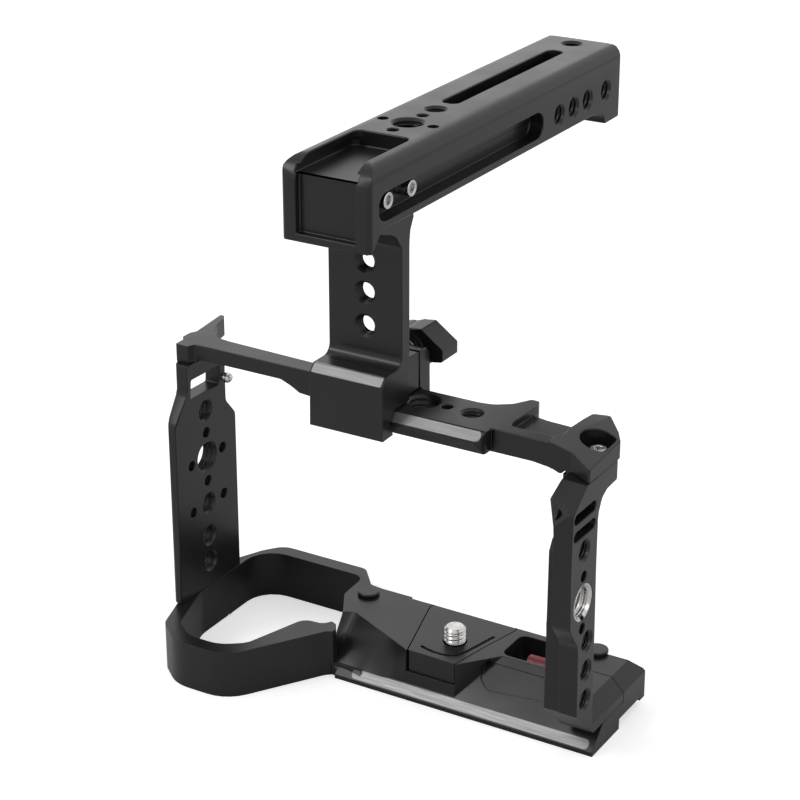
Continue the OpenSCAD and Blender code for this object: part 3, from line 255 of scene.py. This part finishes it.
class NodeSheet:
    """Short calls for putting shader nodes into a material."""

    def __init__(self, name: str) -> None:
        """Makes an empty material with its output and its main shader."""
        self.material = bpy.data.materials.new(name)
        self.material.use_nodes = True
        self.tree = self.material.node_tree
        self.tree.nodes.clear()
        self.output = self.tree.nodes.new("ShaderNodeOutputMaterial")
        self.shader = self.tree.nodes.new("ShaderNodeBsdfPrincipled")
        self.tree.links.new(self.shader.outputs["BSDF"], self.output.inputs["Surface"])
        self.coordinates = self.tree.nodes.new("ShaderNodeTexCoord").outputs["Object"]

    def plug(self, value: object, socket: bpy.types.NodeSocket) -> None:
        """Links a socket, or sets a plain value."""
        if isinstance(value, bpy.types.NodeSocket):
            self.tree.links.new(value, socket)
        else:
            socket.default_value = value

    def math(self, operation: str, first: object, second: object = 0.0) -> bpy.types.NodeSocket:
        """Adds a Math node and returns its result."""
        node = self.tree.nodes.new("ShaderNodeMath")
        node.operation = operation
        self.plug(first, node.inputs[0])
        self.plug(second, node.inputs[1])
        return node.outputs[0]

    def vector(
        self, operation: str, first: object, second: object = (0, 0, 0)
    ) -> bpy.types.NodeSocket:
        """Adds a Vector Math node and returns its vector, or its number where it has one."""
        node = self.tree.nodes.new("ShaderNodeVectorMath")
        node.operation = operation
        self.plug(first, node.inputs[0])
        self.plug(second, node.inputs[1])
        return node.outputs["Value" if operation in ("LENGTH", "DOT_PRODUCT") else "Vector"]

    def noise(
        self, scale: float, detail: float = 2.0, stretch: Point = (1, 1, 1)
    ) -> bpy.types.NodeSocket:
        """Adds a Noise Texture on Object coordinates.

        Args:
            scale: Features per metre.
            detail: Octaves.
            stretch: Factor on each coordinate.

        Returns:
            The noise value, about 0.5 on average.
        """
        node = self.tree.nodes.new("ShaderNodeTexNoise")
        node.inputs["Scale"].default_value = scale
        node.inputs["Detail"].default_value = detail
        self.plug(self.vector("MULTIPLY", self.coordinates, stretch), node.inputs["Vector"])
        return node.outputs[0]

    def ramp(
        self, value: object, low: float, high: float, out_low: float, out_high: float
    ) -> bpy.types.NodeSocket:
        """Adds a smooth clamped Map Range from one span of values to another.

        Args:
            value: What is mapped.
            low: Value that gives the first result.
            high: Value that gives the last result.
            out_low: First result.
            out_high: Last result.

        Returns:
            The result's socket.
        """
        node = self.tree.nodes.new("ShaderNodeMapRange")
        node.interpolation_type = "SMOOTHSTEP"
        self.plug(value, node.inputs["Value"])
        node.inputs["From Min"].default_value = low
        node.inputs["From Max"].default_value = high
        node.inputs["To Min"].default_value = out_low
        node.inputs["To Max"].default_value = out_high
        return node.outputs["Result"]

    def blend(self, share: object, first: object, second: object) -> bpy.types.NodeSocket:
        """Adds a colour mix from first to second."""
        node = self.tree.nodes.new("ShaderNodeMix")
        node.data_type = "RGBA"
        self.plug(share, node.inputs[0])
        colours = [s for s in node.inputs if s.type == "RGBA"]
        for value, socket in zip((first, second), colours):
            self.plug((*value, 1.0) if isinstance(value, tuple) else value, socket)
        return next(s for s in node.outputs if s.type == "RGBA")

    def bump(
        self, height: object, distance: float, strength: float, normal: bpy.types.NodeSocket
    ) -> bpy.types.NodeSocket:
        """Adds a Bump node over a normal and returns its own."""
        node = self.tree.nodes.new("ShaderNodeBump")
        node.inputs["Distance"].default_value = distance
        node.inputs["Strength"].default_value = strength
        self.plug(height, node.inputs["Height"])
        self.plug(normal, node.inputs["Normal"])
        return node.outputs["Normal"]

    def rounded(self, radius: float) -> bpy.types.NodeSocket:
        """Adds a Bevel node and returns its normal, which turns round each edge.

        Args:
            radius: Reach from the edge, in metres.

        Returns:
            The normal's socket.
        """
        node = self.tree.nodes.new("ShaderNodeBevel")
        node.samples = 6
        node.inputs["Radius"].default_value = radius
        return node.outputs["Normal"]

    def edges(self, rounded: bpy.types.NodeSocket) -> bpy.types.NodeSocket:
        """Finds edges by comparing a rounded normal with the true one.

        Args:
            rounded: The Bevel node's normal.

        Returns:
            0 on flats, rising to about 0.3 on an edge.
        """
        true_normal = self.tree.nodes.new("ShaderNodeNewGeometry").outputs["True Normal"]
        return self.math("SUBTRACT", 1.0, self.vector("DOT_PRODUCT", rounded, true_normal))


@dataclass(frozen=True)
class BareWindow:
    """Box in which the black coat has been milled off, with rounded corners."""

    centre: Point
    half: Point
    corner: float
    soft_edge: float = 0.06

    def mask(self, sheet: NodeSheet) -> bpy.types.NodeSocket:
        """Distance to the rounded box, made a mask that is 1 inside.

        The distance is length(max(|p - centre| - (half - corner), 0)) - corner.

        Args:
            sheet: The material that gets the nodes.

        Returns:
            The mask's socket.
        """
        centre = tuple(c * MM for c in self.centre)
        inner = tuple((h - self.corner) * MM for h in self.half)
        offset = sheet.vector("ABSOLUTE", sheet.vector("SUBTRACT", sheet.coordinates, centre))
        beyond = sheet.vector("MAXIMUM", sheet.vector("SUBTRACT", offset, inner), (0, 0, 0))
        distance = sheet.math("SUBTRACT", sheet.vector("LENGTH", beyond), self.corner * MM)
        return sheet.ramp(distance, -self.soft_edge * MM, self.soft_edge * MM, 1.0, 0.0)


@dataclass(frozen=True)
class AnodisedFinish:
    """Bead-blasted aluminium with a black anodic coat, worn thin on its edges."""

    name: str = "black_anodised"
    colour: Colour = (0.0075, 0.0076, 0.0082)
    second_colour: Colour = (0.0115, 0.0116, 0.0122)
    worn_colour: Colour = (0.05, 0.05, 0.052)
    bare_colour: Colour = (0.25, 0.25, 0.255)
    roughness: float = 0.31
    roughness_play: float = 0.035
    worn_shine: float = 0.06
    bare_roughness: tuple[float, float] = (0.4, 0.52)
    bare_shade: float = 0.86
    specular: float = 0.34
    blotch_scale: float = 75.0
    grain_scale: float = 5200.0
    speck_scale: float = 1500.0
    line_scale: float = 2600.0
    grain_height: float = 0.02
    grain_bump: float = 0.06
    edge_reach: float = 0.25
    windows: tuple[BareWindow, ...] = ()

    def material(self) -> bpy.types.Material:
        """Builds the node material and returns it."""
        sheet = NodeSheet(self.name)
        blotch = sheet.noise(self.blotch_scale, 3.0)
        grain = sheet.noise(self.grain_scale, 2.0)
        speck = sheet.noise(self.speck_scale, 3.0)
        coat = sheet.blend(blotch, self.colour, self.second_colour)
        rounded = sheet.rounded(self.edge_reach * MM)
        edge = sheet.ramp(sheet.edges(rounded), 0.03, 0.3, 0.0, 1.0)
        wear = sheet.math("MULTIPLY", edge, sheet.ramp(speck, 0.42, 0.66, 0.15, 0.9))
        coat = sheet.blend(wear, coat, self.worn_colour)
        play = self.roughness_play
        rough = sheet.ramp(blotch, 0.3, 0.7, self.roughness - play, self.roughness + play)
        rough = sheet.math("SUBTRACT", rough, sheet.math("MULTIPLY", wear, self.worn_shine))
        metal: object = 0.0
        if self.windows:
            mask = self.windows[0].mask(sheet)
            for window in self.windows[1:]:
                mask = sheet.math("MAXIMUM", mask, window.mask(sheet))
            lines = sheet.noise(self.line_scale, 2.0, (0.04, 1.0, 1.0))
            shaded = tuple(c * self.bare_shade for c in self.bare_colour)
            pale = sheet.blend(lines, shaded, self.bare_colour)
            coat = sheet.blend(mask, coat, pale)
            bare_rough = sheet.ramp(lines, 0.3, 0.7, *self.bare_roughness)
            kept = sheet.math("MULTIPLY", rough, sheet.math("SUBTRACT", 1.0, mask))
            rough = sheet.math("ADD", kept, sheet.math("MULTIPLY", bare_rough, mask))
            metal = mask
        sheet.plug(coat, sheet.shader.inputs["Base Color"])
        sheet.plug(rough, sheet.shader.inputs["Roughness"])
        sheet.plug(metal, sheet.shader.inputs["Metallic"])
        sheet.shader.inputs["Specular IOR Level"].default_value = self.specular
        normal = sheet.bump(grain, self.grain_height * MM, self.grain_bump, rounded)
        sheet.plug(normal, sheet.shader.inputs["Normal"])
        return sheet.material


@dataclass(frozen=True)
class MetalFinish:
    """Bare or plated metal with fine lines from turning, and small marks."""

    name: str = "stainless_turned"
    colour: Colour = (0.62, 0.61, 0.60)
    second_colour: Colour = (0.44, 0.435, 0.43)
    roughness: float = 0.24
    roughness_play: tuple[float, float] = (0.05, 0.07)
    edge_dullness: float = 0.08
    blotch_scale: float = 420.0
    line_scale: float = 3200.0
    line_height: float = 0.01
    line_bump: float = 0.1
    edge_reach: float = 0.18

    def material(self) -> bpy.types.Material:
        """Builds the node material and returns it."""
        sheet = NodeSheet(self.name)
        blotch = sheet.noise(self.blotch_scale, 3.0)
        lines = sheet.noise(self.line_scale, 1.0, (0.25, 0.25, 1.0))
        share = sheet.ramp(blotch, 0.35, 0.75, 0.0, 1.0)
        colour = sheet.blend(share, self.colour, self.second_colour)
        rounded = sheet.rounded(self.edge_reach * MM)
        dull = sheet.ramp(sheet.edges(rounded), 0.02, 0.3, 0.0, self.edge_dullness)
        below, above = self.roughness_play
        rough = sheet.ramp(lines, 0.3, 0.7, self.roughness - below, self.roughness + above)
        sheet.plug(colour, sheet.shader.inputs["Base Color"])
        sheet.plug(sheet.math("ADD", rough, dull), sheet.shader.inputs["Roughness"])
        sheet.shader.inputs["Metallic"].default_value = 1.0
        normal = sheet.bump(lines, self.line_height * MM, self.line_bump, rounded)
        sheet.plug(normal, sheet.shader.inputs["Normal"])
        return sheet.material


@dataclass(frozen=True)
class PaintFinish:
    """Dull paint on a turned piece, chipped at its edges."""

    name: str = "tool_red_paint"
    colour: Colour = (0.23, 0.022, 0.028)
    second_colour: Colour = (0.15, 0.014, 0.02)
    chip_colour: Colour = (0.4, 0.33, 0.32)
    chip_strength: float = 0.8
    roughness: float = 0.42
    roughness_play: float = 0.05
    blotch_scale: float = 600.0
    grain_scale: float = 4200.0
    grain_height: float = 0.02
    grain_bump: float = 0.12
    edge_reach: float = 0.2

    def material(self) -> bpy.types.Material:
        """Builds the node material and returns it."""
        sheet = NodeSheet(self.name)
        blotch = sheet.noise(self.blotch_scale, 3.0)
        grain = sheet.noise(self.grain_scale, 2.0)
        colour = sheet.blend(blotch, self.colour, self.second_colour)
        rounded = sheet.rounded(self.edge_reach * MM)
        edge = sheet.ramp(sheet.edges(rounded), 0.05, 0.35, 0.0, 1.0)
        chips = sheet.math("MULTIPLY", edge, sheet.ramp(grain, 0.5, 0.6, 0.0, self.chip_strength))
        sheet.plug(sheet.blend(chips, colour, self.chip_colour), sheet.shader.inputs["Base Color"])
        play = self.roughness_play
        rough = sheet.ramp(blotch, 0.3, 0.7, self.roughness - play, self.roughness + play)
        sheet.plug(rough, sheet.shader.inputs["Roughness"])
        normal = sheet.bump(grain, self.grain_height * MM, self.grain_bump, rounded)
        sheet.plug(normal, sheet.shader.inputs["Normal"])
        return sheet.material


@dataclass
class Workshop:
    """Turns CAD nodes into finished pieces and keeps the made materials."""

    frame: dict
    made: dict[str, bpy.types.Material] = field(default_factory=dict)

    def material(self, finish: AnodisedFinish | MetalFinish | PaintFinish) -> bpy.types.Material:
        """Returns the finish's material, made once."""
        if finish.name not in self.made:
            self.made[finish.name] = finish.material()
        return self.made[finish.name]

    def machined(
        self,
        node: str,
        finish: AnodisedFinish | MetalFinish | PaintFinish,
        slot: Slot,
        walls: tuple[ThreadedWall, ...] = (),
        rounding: float = 0.22,
    ) -> bpy.types.Object:
        """Copies a node, cuts its threads, rounds its edges and lets the copy stand for it.

        Args:
            node: The CAD node.
            finish: What the surface looks like.
            slot: The record's material slot; not used.
            walls: Round walls that carry a thread.
            rounding: Width of the rounded edges, in millimetres.

        Returns:
            The finished piece.
        """
        source = self.frame["nodes"][node]
        shape = bmesh.new()
        shape.from_mesh(source.data)
        bmesh.ops.remove_doubles(shape, verts=shape.verts, dist=MERGE_REACH)
        for wall in walls:
            self._open_wall(shape, wall, node)
        bmesh.ops.dissolve_limit(
            shape, angle_limit=FLAT_TURN, verts=shape.verts, edges=shape.edges
        )
        self._mark_edges(shape, rounding * MM)
        for wall in walls:
            points, quads = wall.surface()
            groove = bpy.data.meshes.new("groove")
            groove.from_pydata(points.tolist(), [], quads.tolist())
            shape.from_mesh(groove)
            bpy.data.meshes.remove(groove)
        mesh = bpy.data.meshes.new(f"{node}_finished")
        shape.to_mesh(mesh)
        shape.free()
        return self.finished(mesh, node, finish, rounding)

    def finished(
        self,
        mesh: bpy.types.Mesh,
        node: str,
        finish: AnodisedFinish | MetalFinish | PaintFinish,
        rounding: float,
    ) -> bpy.types.Object:
        """Shades a mesh, gives it its material and puts it in the place of a node.

        Args:
            mesh: The piece's mesh, in metres in the row frame.
            node: The CAD node that it stands for.
            finish: What the surface looks like.
            rounding: Width of the rounded edges, in millimetres, or 0.

        Returns:
            The finished piece.
        """
        for stale in ("custom_normal", "sharp_face", "sharp_edge"):
            if stale in mesh.attributes:
                mesh.attributes.remove(mesh.attributes[stale])
        mesh.materials.clear()
        mesh.materials.append(self.material(finish))
        mesh.polygons.foreach_set("use_smooth", np.ones(len(mesh.polygons), bool))
        mesh.polygons.foreach_set("material_index", np.zeros(len(mesh.polygons), np.int32))
        mesh.set_sharp_from_angle(angle=SHARP_TURN)
        mesh.update()
        piece = bpy.data.objects.new(f"{node}_finished", mesh)
        bpy.context.scene.collection.objects.link(piece)
        if rounding > 0:
            bevel = piece.modifiers.new("rounded_edges", "BEVEL")
            bevel.limit_method = "WEIGHT"
            bevel.width = rounding * MM
            bevel.segments = ROUNDING_STEPS
            bevel.use_clamp_overlap = False
            bevel.harden_normals = False
            evened = piece.modifiers.new("evened_shading", "WEIGHTED_NORMAL")
            evened.keep_sharp = True
        body = self.frame["nodes"][node]["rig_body"]
        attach(piece, body)
        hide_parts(node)
        LOG.info("%s rides on %s, %d faces", piece.name, body, len(mesh.polygons))
        return piece

    @staticmethod
    def _open_wall(shape: bmesh.types.BMesh, wall: ThreadedWall, node: str) -> None:
        """Takes the plain faces of a threaded wall out of a shape.

        Args:
            shape: The merged copy.
            wall: The wall.
            node: The node's name, for the log.
        """
        points = np.array([v.co for v in shape.verts])
        shape.verts.index_update()
        held = wall.holds(points)
        along = Vector(wall.axis.value[0])
        faces = [
            f
            for f in shape.faces
            if abs(f.normal.dot(along)) < ACROSS_LIMIT and all(held[v.index] for v in f.verts)
        ]
        if not faces:
            LOG.warning("%s has no wall at %s", node, wall.centre)
        bmesh.ops.delete(shape, geom=faces, context="FACES")

    @staticmethod
    def _mark_edges(shape: bmesh.types.BMesh, width: float) -> None:
        """Marks the edges to be rounded: those that turn by more than ROUNDED_TURN between
        faces that are wide enough to lose a strip.

        Args:
            shape: The merged copy.
            width: Width of the rounding, in metres.
        """
        weight = shape.edges.layers.float.new("bevel_weight_edge")
        breadth = {
            f: 2 * f.calc_area() / max(f.calc_perimeter(), 1e-9) for f in shape.faces
        }
        for edge in shape.edges:
            if len(edge.link_faces) != 2:
                continue
            if min(breadth[f] for f in edge.link_faces) < WIDE_ENOUGH * width:
                continue
            if edge.calc_face_angle(0.0) > ROUNDED_TURN:
                edge[weight] = 1.0


@dataclass
class BaseGroup:
    """Base plate with its ring, the camera's seat and what is let into it."""

    shop: Workshop
    strip: BareWindow = BareWindow((11.6, -13.3, -11.9), (38.3, 1.5, 1.28), 1.2)

    def build(self) -> None:
        """Dresses each piece of the group."""
        plate = AnodisedFinish(name="black_anodised_plate", windows=(self.strip,))
        self.shop.machined("base_plate", plate, Slot.ANODISED, rounding=0.0)
        self.shop.machined("seat_pad", AnodisedFinish(), Slot.ANODISED, rounding=0.0)
        self.shop.machined("anti_twist_pads", AnodisedFinish(), Slot.ANODISED, rounding=0.3)
        for node in ("pad_screws", "foot_screws", "ring_screws"):
            self.shop.machined(node, MetalFinish(), Slot.STAINLESS, rounding=0.08)
        nickel = MetalFinish(name="nickel_plate")
        self.shop.machined("tool_magnet", nickel, Slot.MAGNET, rounding=0.15)


@dataclass
class CameraScrew:
    """Captive quarter-inch screw with its retaining ring."""

    shop: Workshop
    thread: ThreadedWall = ThreadedWall(
        (0, 0, 2.3), Axis.Z, 3.175, 3.9, ThreadForm.QUARTER_INCH,
        is_hole=False, around=56, rows_per_turn=12,
    )

    def build(self) -> None:
        """Dresses the screw and the ring."""
        self.shop.machined("camera_screw", MetalFinish(), Slot.STAINLESS, (self.thread,), 0.15)
        self.shop.machined("screw_clip", MetalFinish(), Slot.STAINLESS, rounding=0.08)


@dataclass
class PocketTool:
    """Tool that a magnet holds in the base plate's pocket."""

    shop: Workshop

    def build(self) -> None:
        """Dresses the tool's red end and its steel shank."""
        self.shop.machined("tool_handle", PaintFinish(), Slot.TOOL_RED, rounding=0.3)
        self.shop.machined("tool_shank", MetalFinish(), Slot.STAINLESS, rounding=0.15)


@dataclass
class GripSide:
    """Plate on the grip side with its tapped holes, and its small screws."""

    shop: Workshop
    hole_x: float = -83.0
    hole_y: float = -7.0
    quarter_z: tuple[float, ...] = (57.2, 27.1, 16.5, 7.9)
    large_z: float = 42.3
    wall: float = 3.5

    def walls(self) -> tuple[ThreadedWall, ...]:
        """Lists the plate's threaded walls."""
        small = tuple(
            quarter_hole((self.hole_x, self.hole_y, z), Axis.X, self.wall) for z in self.quarter_z
        )
        return (*small, large_hole((self.hole_x, self.hole_y, self.large_z), Axis.X, self.wall))

    def build(self) -> None:
        """Dresses the plate and its screws."""
        self.shop.machined("grip_side_plate", AnodisedFinish(), Slot.ANODISED, self.walls(), 0.22)
        self.shop.machined("ball_screw", MetalFinish(), Slot.STAINLESS, rounding=0.0)
        self.shop.machined("plate_screws", MetalFinish(), Slot.STAINLESS, rounding=0.08)


@dataclass
class TopBar:
    """Top bar with the rail, milled bare along its front edge."""

    shop: Workshop
    large: Point = (-3.9, -11.8, 75.8)
    quarter: Point = (11.3, -12.2, 75.8)
    wall: float = 4.9
    edge: BareWindow = BareWindow((2.4, -22.6, 77.75), (17.2, 1.6, 1.3), 1.2)

    def build(self) -> None:
        """Dresses the bar and the corner screw."""
        walls = (
            large_hole(self.large, Axis.Z, self.wall),
            quarter_hole(self.quarter, Axis.Z, self.wall),
        )
        rail = AnodisedFinish(name="black_anodised_rail", windows=(self.edge,))
        self.shop.machined("top_bar", rail, Slot.ANODISED, walls, 0.22)
        self.shop.machined("corner_screw", MetalFinish(), Slot.STAINLESS, rounding=0.15)


@dataclass
class SideArm:
    """Arm on the right with its holes, strap slots and threaded insert."""

    shop: Workshop
    top_hole: Point = (48.925, -24, 53.4)
    top_wall: float = 3.85
    lower_x: float = 46.6
    lower_y: float = -20.5
    lower_z: tuple[float, ...] = (24.9, 15.9, 6.8)
    lower_wall: float = 8.5
    insert: ThreadedWall = ThreadedWall(
        (48.8, -23.8, 38), Axis.X, ThreadForm.LARGE.hole_radius, 4.1, ThreadForm.LARGE,
        around=48, rows_per_turn=12,
    )

    def build(self) -> None:
        """Dresses the arm and its insert."""
        lower = tuple(
            quarter_hole((self.lower_x, self.lower_y, z), Axis.X, self.lower_wall)
            for z in self.lower_z
        )
        upper = quarter_hole(self.top_hole, Axis.X, self.top_wall)
        self.shop.machined("side_arm", AnodisedFinish(), Slot.ANODISED, (*lower, upper), 0.22)
        self.shop.machined("arm_insert", MetalFinish(), Slot.STAINLESS, (self.insert,), 0.1)


@dataclass
class RailClamp:
    """Fixed jaw with the riser, moving jaw, clamp screw and winged knob."""

    shop: Workshop
    middle_x: float = -18.5
    hole_y: float = -16.2
    hole_wall: float = 2.7
    hole_z: tuple[float, ...] = (118.5, 109.7, 100.2)
    edge: BareWindow = BareWindow((-18.5, -27.4, 89.3), (10.9, 1.6, 1.2), 0.5)

    def build(self) -> None:
        """Dresses the clamp's pieces."""
        walls = tuple(
            quarter_hole((self.middle_x, self.hole_y, z), Axis.Y, self.hole_wall)
            for z in self.hole_z
        )
        riser = AnodisedFinish(name="black_anodised_riser", windows=(self.edge,))
        self.shop.machined("clamp_riser", riser, Slot.ANODISED, walls, 0.3)
        self.shop.machined("rear_jaw", AnodisedFinish(), Slot.ANODISED, rounding=0.3)
        self.shop.machined("wing_knob", AnodisedFinish(), Slot.ANODISED, rounding=0.5)
        for node in ("guide_pins", "clamp_screw", "screw_retainer", "knob_washer"):
            self.shop.machined(node, MetalFinish(), Slot.STAINLESS, rounding=0.1)


@dataclass
class TopHandle:
    """Handle bar with its holes, slots and accessory shoe."""

    shop: Workshop
    middle_x: float = -18.5
    quarters: tuple[Point, ...] = ((19.2, 147.325, 5.65), (101.4, 147.075, 6.15))
    large: Point = (4.2, 146.825, 6.65)
    side_y: tuple[float, ...] = (67.5, 76.65, 85.7, 97.9)
    side_z: float = 139.15
    side_wall: float = 25.5

    def walls(self) -> tuple[ThreadedWall, ...]:
        """Lists the handle's threaded walls."""
        top = tuple(
            quarter_hole((self.middle_x, y, z), Axis.Z, wall) for y, z, wall in self.quarters
        )
        y, z, wall = self.large
        large = large_hole((self.middle_x, y, z), Axis.Z, wall)
        side = tuple(
            quarter_hole((self.middle_x, y, self.side_z), Axis.X, self.side_wall)
            for y in self.side_y
        )
        return (*top, large, *side)

    def build(self) -> None:
        """Dresses the handle and its screws."""
        self.shop.machined("handle_bar", AnodisedFinish(), Slot.ANODISED, self.walls(), 0.3)
        self.shop.machined("handle_screws", MetalFinish(), Slot.STAINLESS, rounding=0.2)


@dataclass
class Studio:
    """Pale floor, soft lamps, white surroundings and the photograph's camera."""

    floor_z: float = -14.5
    floor_half: float = 4000.0
    camera_at: Point = (277.0617, -497.1080, 322.0281)
    azimuth: float = 30.73
    elevation: float = 23.41
    lens: float = 101.43
    ambient: float = 0.62
    floor_grey: float = 0.92
    floor_lift: float = 0.5

    def build(self) -> None:
        """Builds the surroundings."""
        self._floor()
        self._world()
        self._lamp("key_lamp", (-700, -900, 1100), 380, 4.2)
        self._lamp("back_lamp", (-560, 980, 620), 900, 0.75)
        self._lamp("right_lamp", (1100, -250, 500), 320, 1.2)
        self._camera()

    def _floor(self) -> None:
        """Lays the pale floor, lifted for the camera only, so that it keeps a faint shadow."""
        reach = self.floor_half * MM
        height = self.floor_z * MM
        mesh = bpy.data.meshes.new("floor")
        turns = ((-1, -1), (1, -1), (1, 1), (-1, 1))
        mesh.from_pydata([(x * reach, y * reach, height) for x, y in turns], [], [(0, 1, 2, 3)])
        floor = bpy.data.objects.new("floor", mesh)
        bpy.context.scene.collection.objects.link(floor)
        material = bpy.data.materials.new("pale_floor")
        material.use_nodes = True
        tree = material.node_tree
        tree.nodes.clear()
        output = tree.nodes.new("ShaderNodeOutputMaterial")
        matt = tree.nodes.new("ShaderNodeBsdfDiffuse")
        matt.inputs["Color"].default_value = (*[self.floor_grey] * 3, 1)
        lift = tree.nodes.new("ShaderNodeEmission")
        lift.inputs["Color"].default_value = (1, 1, 1, 1)
        seen = tree.nodes.new("ShaderNodeLightPath").outputs["Is Camera Ray"]
        amount = tree.nodes.new("ShaderNodeMath")
        amount.operation = "MULTIPLY"
        amount.inputs[1].default_value = self.floor_lift
        tree.links.new(seen, amount.inputs[0])
        tree.links.new(amount.outputs[0], lift.inputs["Strength"])
        both = tree.nodes.new("ShaderNodeAddShader")
        tree.links.new(matt.outputs[0], both.inputs[0])
        tree.links.new(lift.outputs[0], both.inputs[1])
        tree.links.new(both.outputs[0], output.inputs["Surface"])
        mesh.materials.append(material)

    def _world(self) -> None:
        """Makes the surroundings white for what is seen or mirrored, and softer as a light."""
        world = bpy.data.worlds.new("studio")
        bpy.context.scene.world = world
        world.use_nodes = True
        tree = world.node_tree
        tree.nodes.clear()
        output = tree.nodes.new("ShaderNodeOutputWorld")
        soft = tree.nodes.new("ShaderNodeBackground")
        soft.inputs["Color"].default_value = (1, 1, 1, 1)
        soft.inputs["Strength"].default_value = self.ambient
        white = tree.nodes.new("ShaderNodeBackground")
        white.inputs["Color"].default_value = (1, 1, 1, 1)
        white.inputs["Strength"].default_value = 1.0
        path = tree.nodes.new("ShaderNodeLightPath")
        seen: bpy.types.NodeSocket = path.outputs["Is Camera Ray"]
        for ray in ("Is Glossy Ray", "Is Transmission Ray"):
            either = tree.nodes.new("ShaderNodeMath")
            either.operation = "MAXIMUM"
            tree.links.new(seen, either.inputs[0])
            tree.links.new(path.outputs[ray], either.inputs[1])
            seen = either.outputs[0]
        mix = tree.nodes.new("ShaderNodeMixShader")
        tree.links.new(seen, mix.inputs[0])
        tree.links.new(soft.outputs[0], mix.inputs[1])
        tree.links.new(white.outputs[0], mix.inputs[2])
        tree.links.new(mix.outputs[0], output.inputs["Surface"])

    @staticmethod
    def _lamp(name: str, place: Point, size: float, power: float) -> None:
        """Hangs a square soft lamp that faces the object.

        Args:
            name: The lamp's name.
            place: Its place, in millimetres.
            size: Its side, in millimetres.
            power: Its power in watts.
        """
        data = bpy.data.lights.new(name, "AREA")
        data.shape = "SQUARE"
        data.size = size * MM
        data.energy = power
        lamp = bpy.data.objects.new(name, data)
        lamp.location = [v * MM for v in place]
        towards = Vector((0, 0, 60)) * MM - lamp.location
        lamp.rotation_mode = "QUATERNION"
        lamp.rotation_quaternion = towards.to_track_quat("-Z", "Y")
        bpy.context.scene.collection.objects.link(lamp)

    def _camera(self) -> None:
        """Places the camera at the photograph's view."""
        data = bpy.data.cameras.new("photo_view")
        data.lens = self.lens
        data.sensor_width = 36.0
        data.clip_start = 0.01
        data.clip_end = 50.0
        camera = bpy.data.objects.new("photo_view", data)
        turn, rise = math.radians(self.azimuth), math.radians(self.elevation)
        back = Vector(
            (math.sin(turn) * math.cos(rise), -math.cos(turn) * math.cos(rise), math.sin(rise))
        )
        camera.location = [v * MM for v in self.camera_at]
        camera.rotation_mode = "QUATERNION"
        camera.rotation_quaternion = (-back).to_track_quat("-Z", "Y")
        bpy.context.scene.collection.objects.link(camera)
        bpy.context.scene.camera = camera


def main(frame: dict) -> None:
    """Builds the object's groups in order, then the studio.
    """
    logging.basicConfig(level=logging.INFO, format="%(name)s: %(message)s")
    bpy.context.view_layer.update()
    shop = Workshop(frame)
    groups = (BaseGroup, CameraScrew, PocketTool, GripSide, TopBar, SideArm, RailClamp, TopHandle)
    for group in groups:
        group(shop).build()
    Studio().build()
    bpy.context.scene.view_settings.view_transform = "Standard"


if __name__ == "__main__":
    main(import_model())
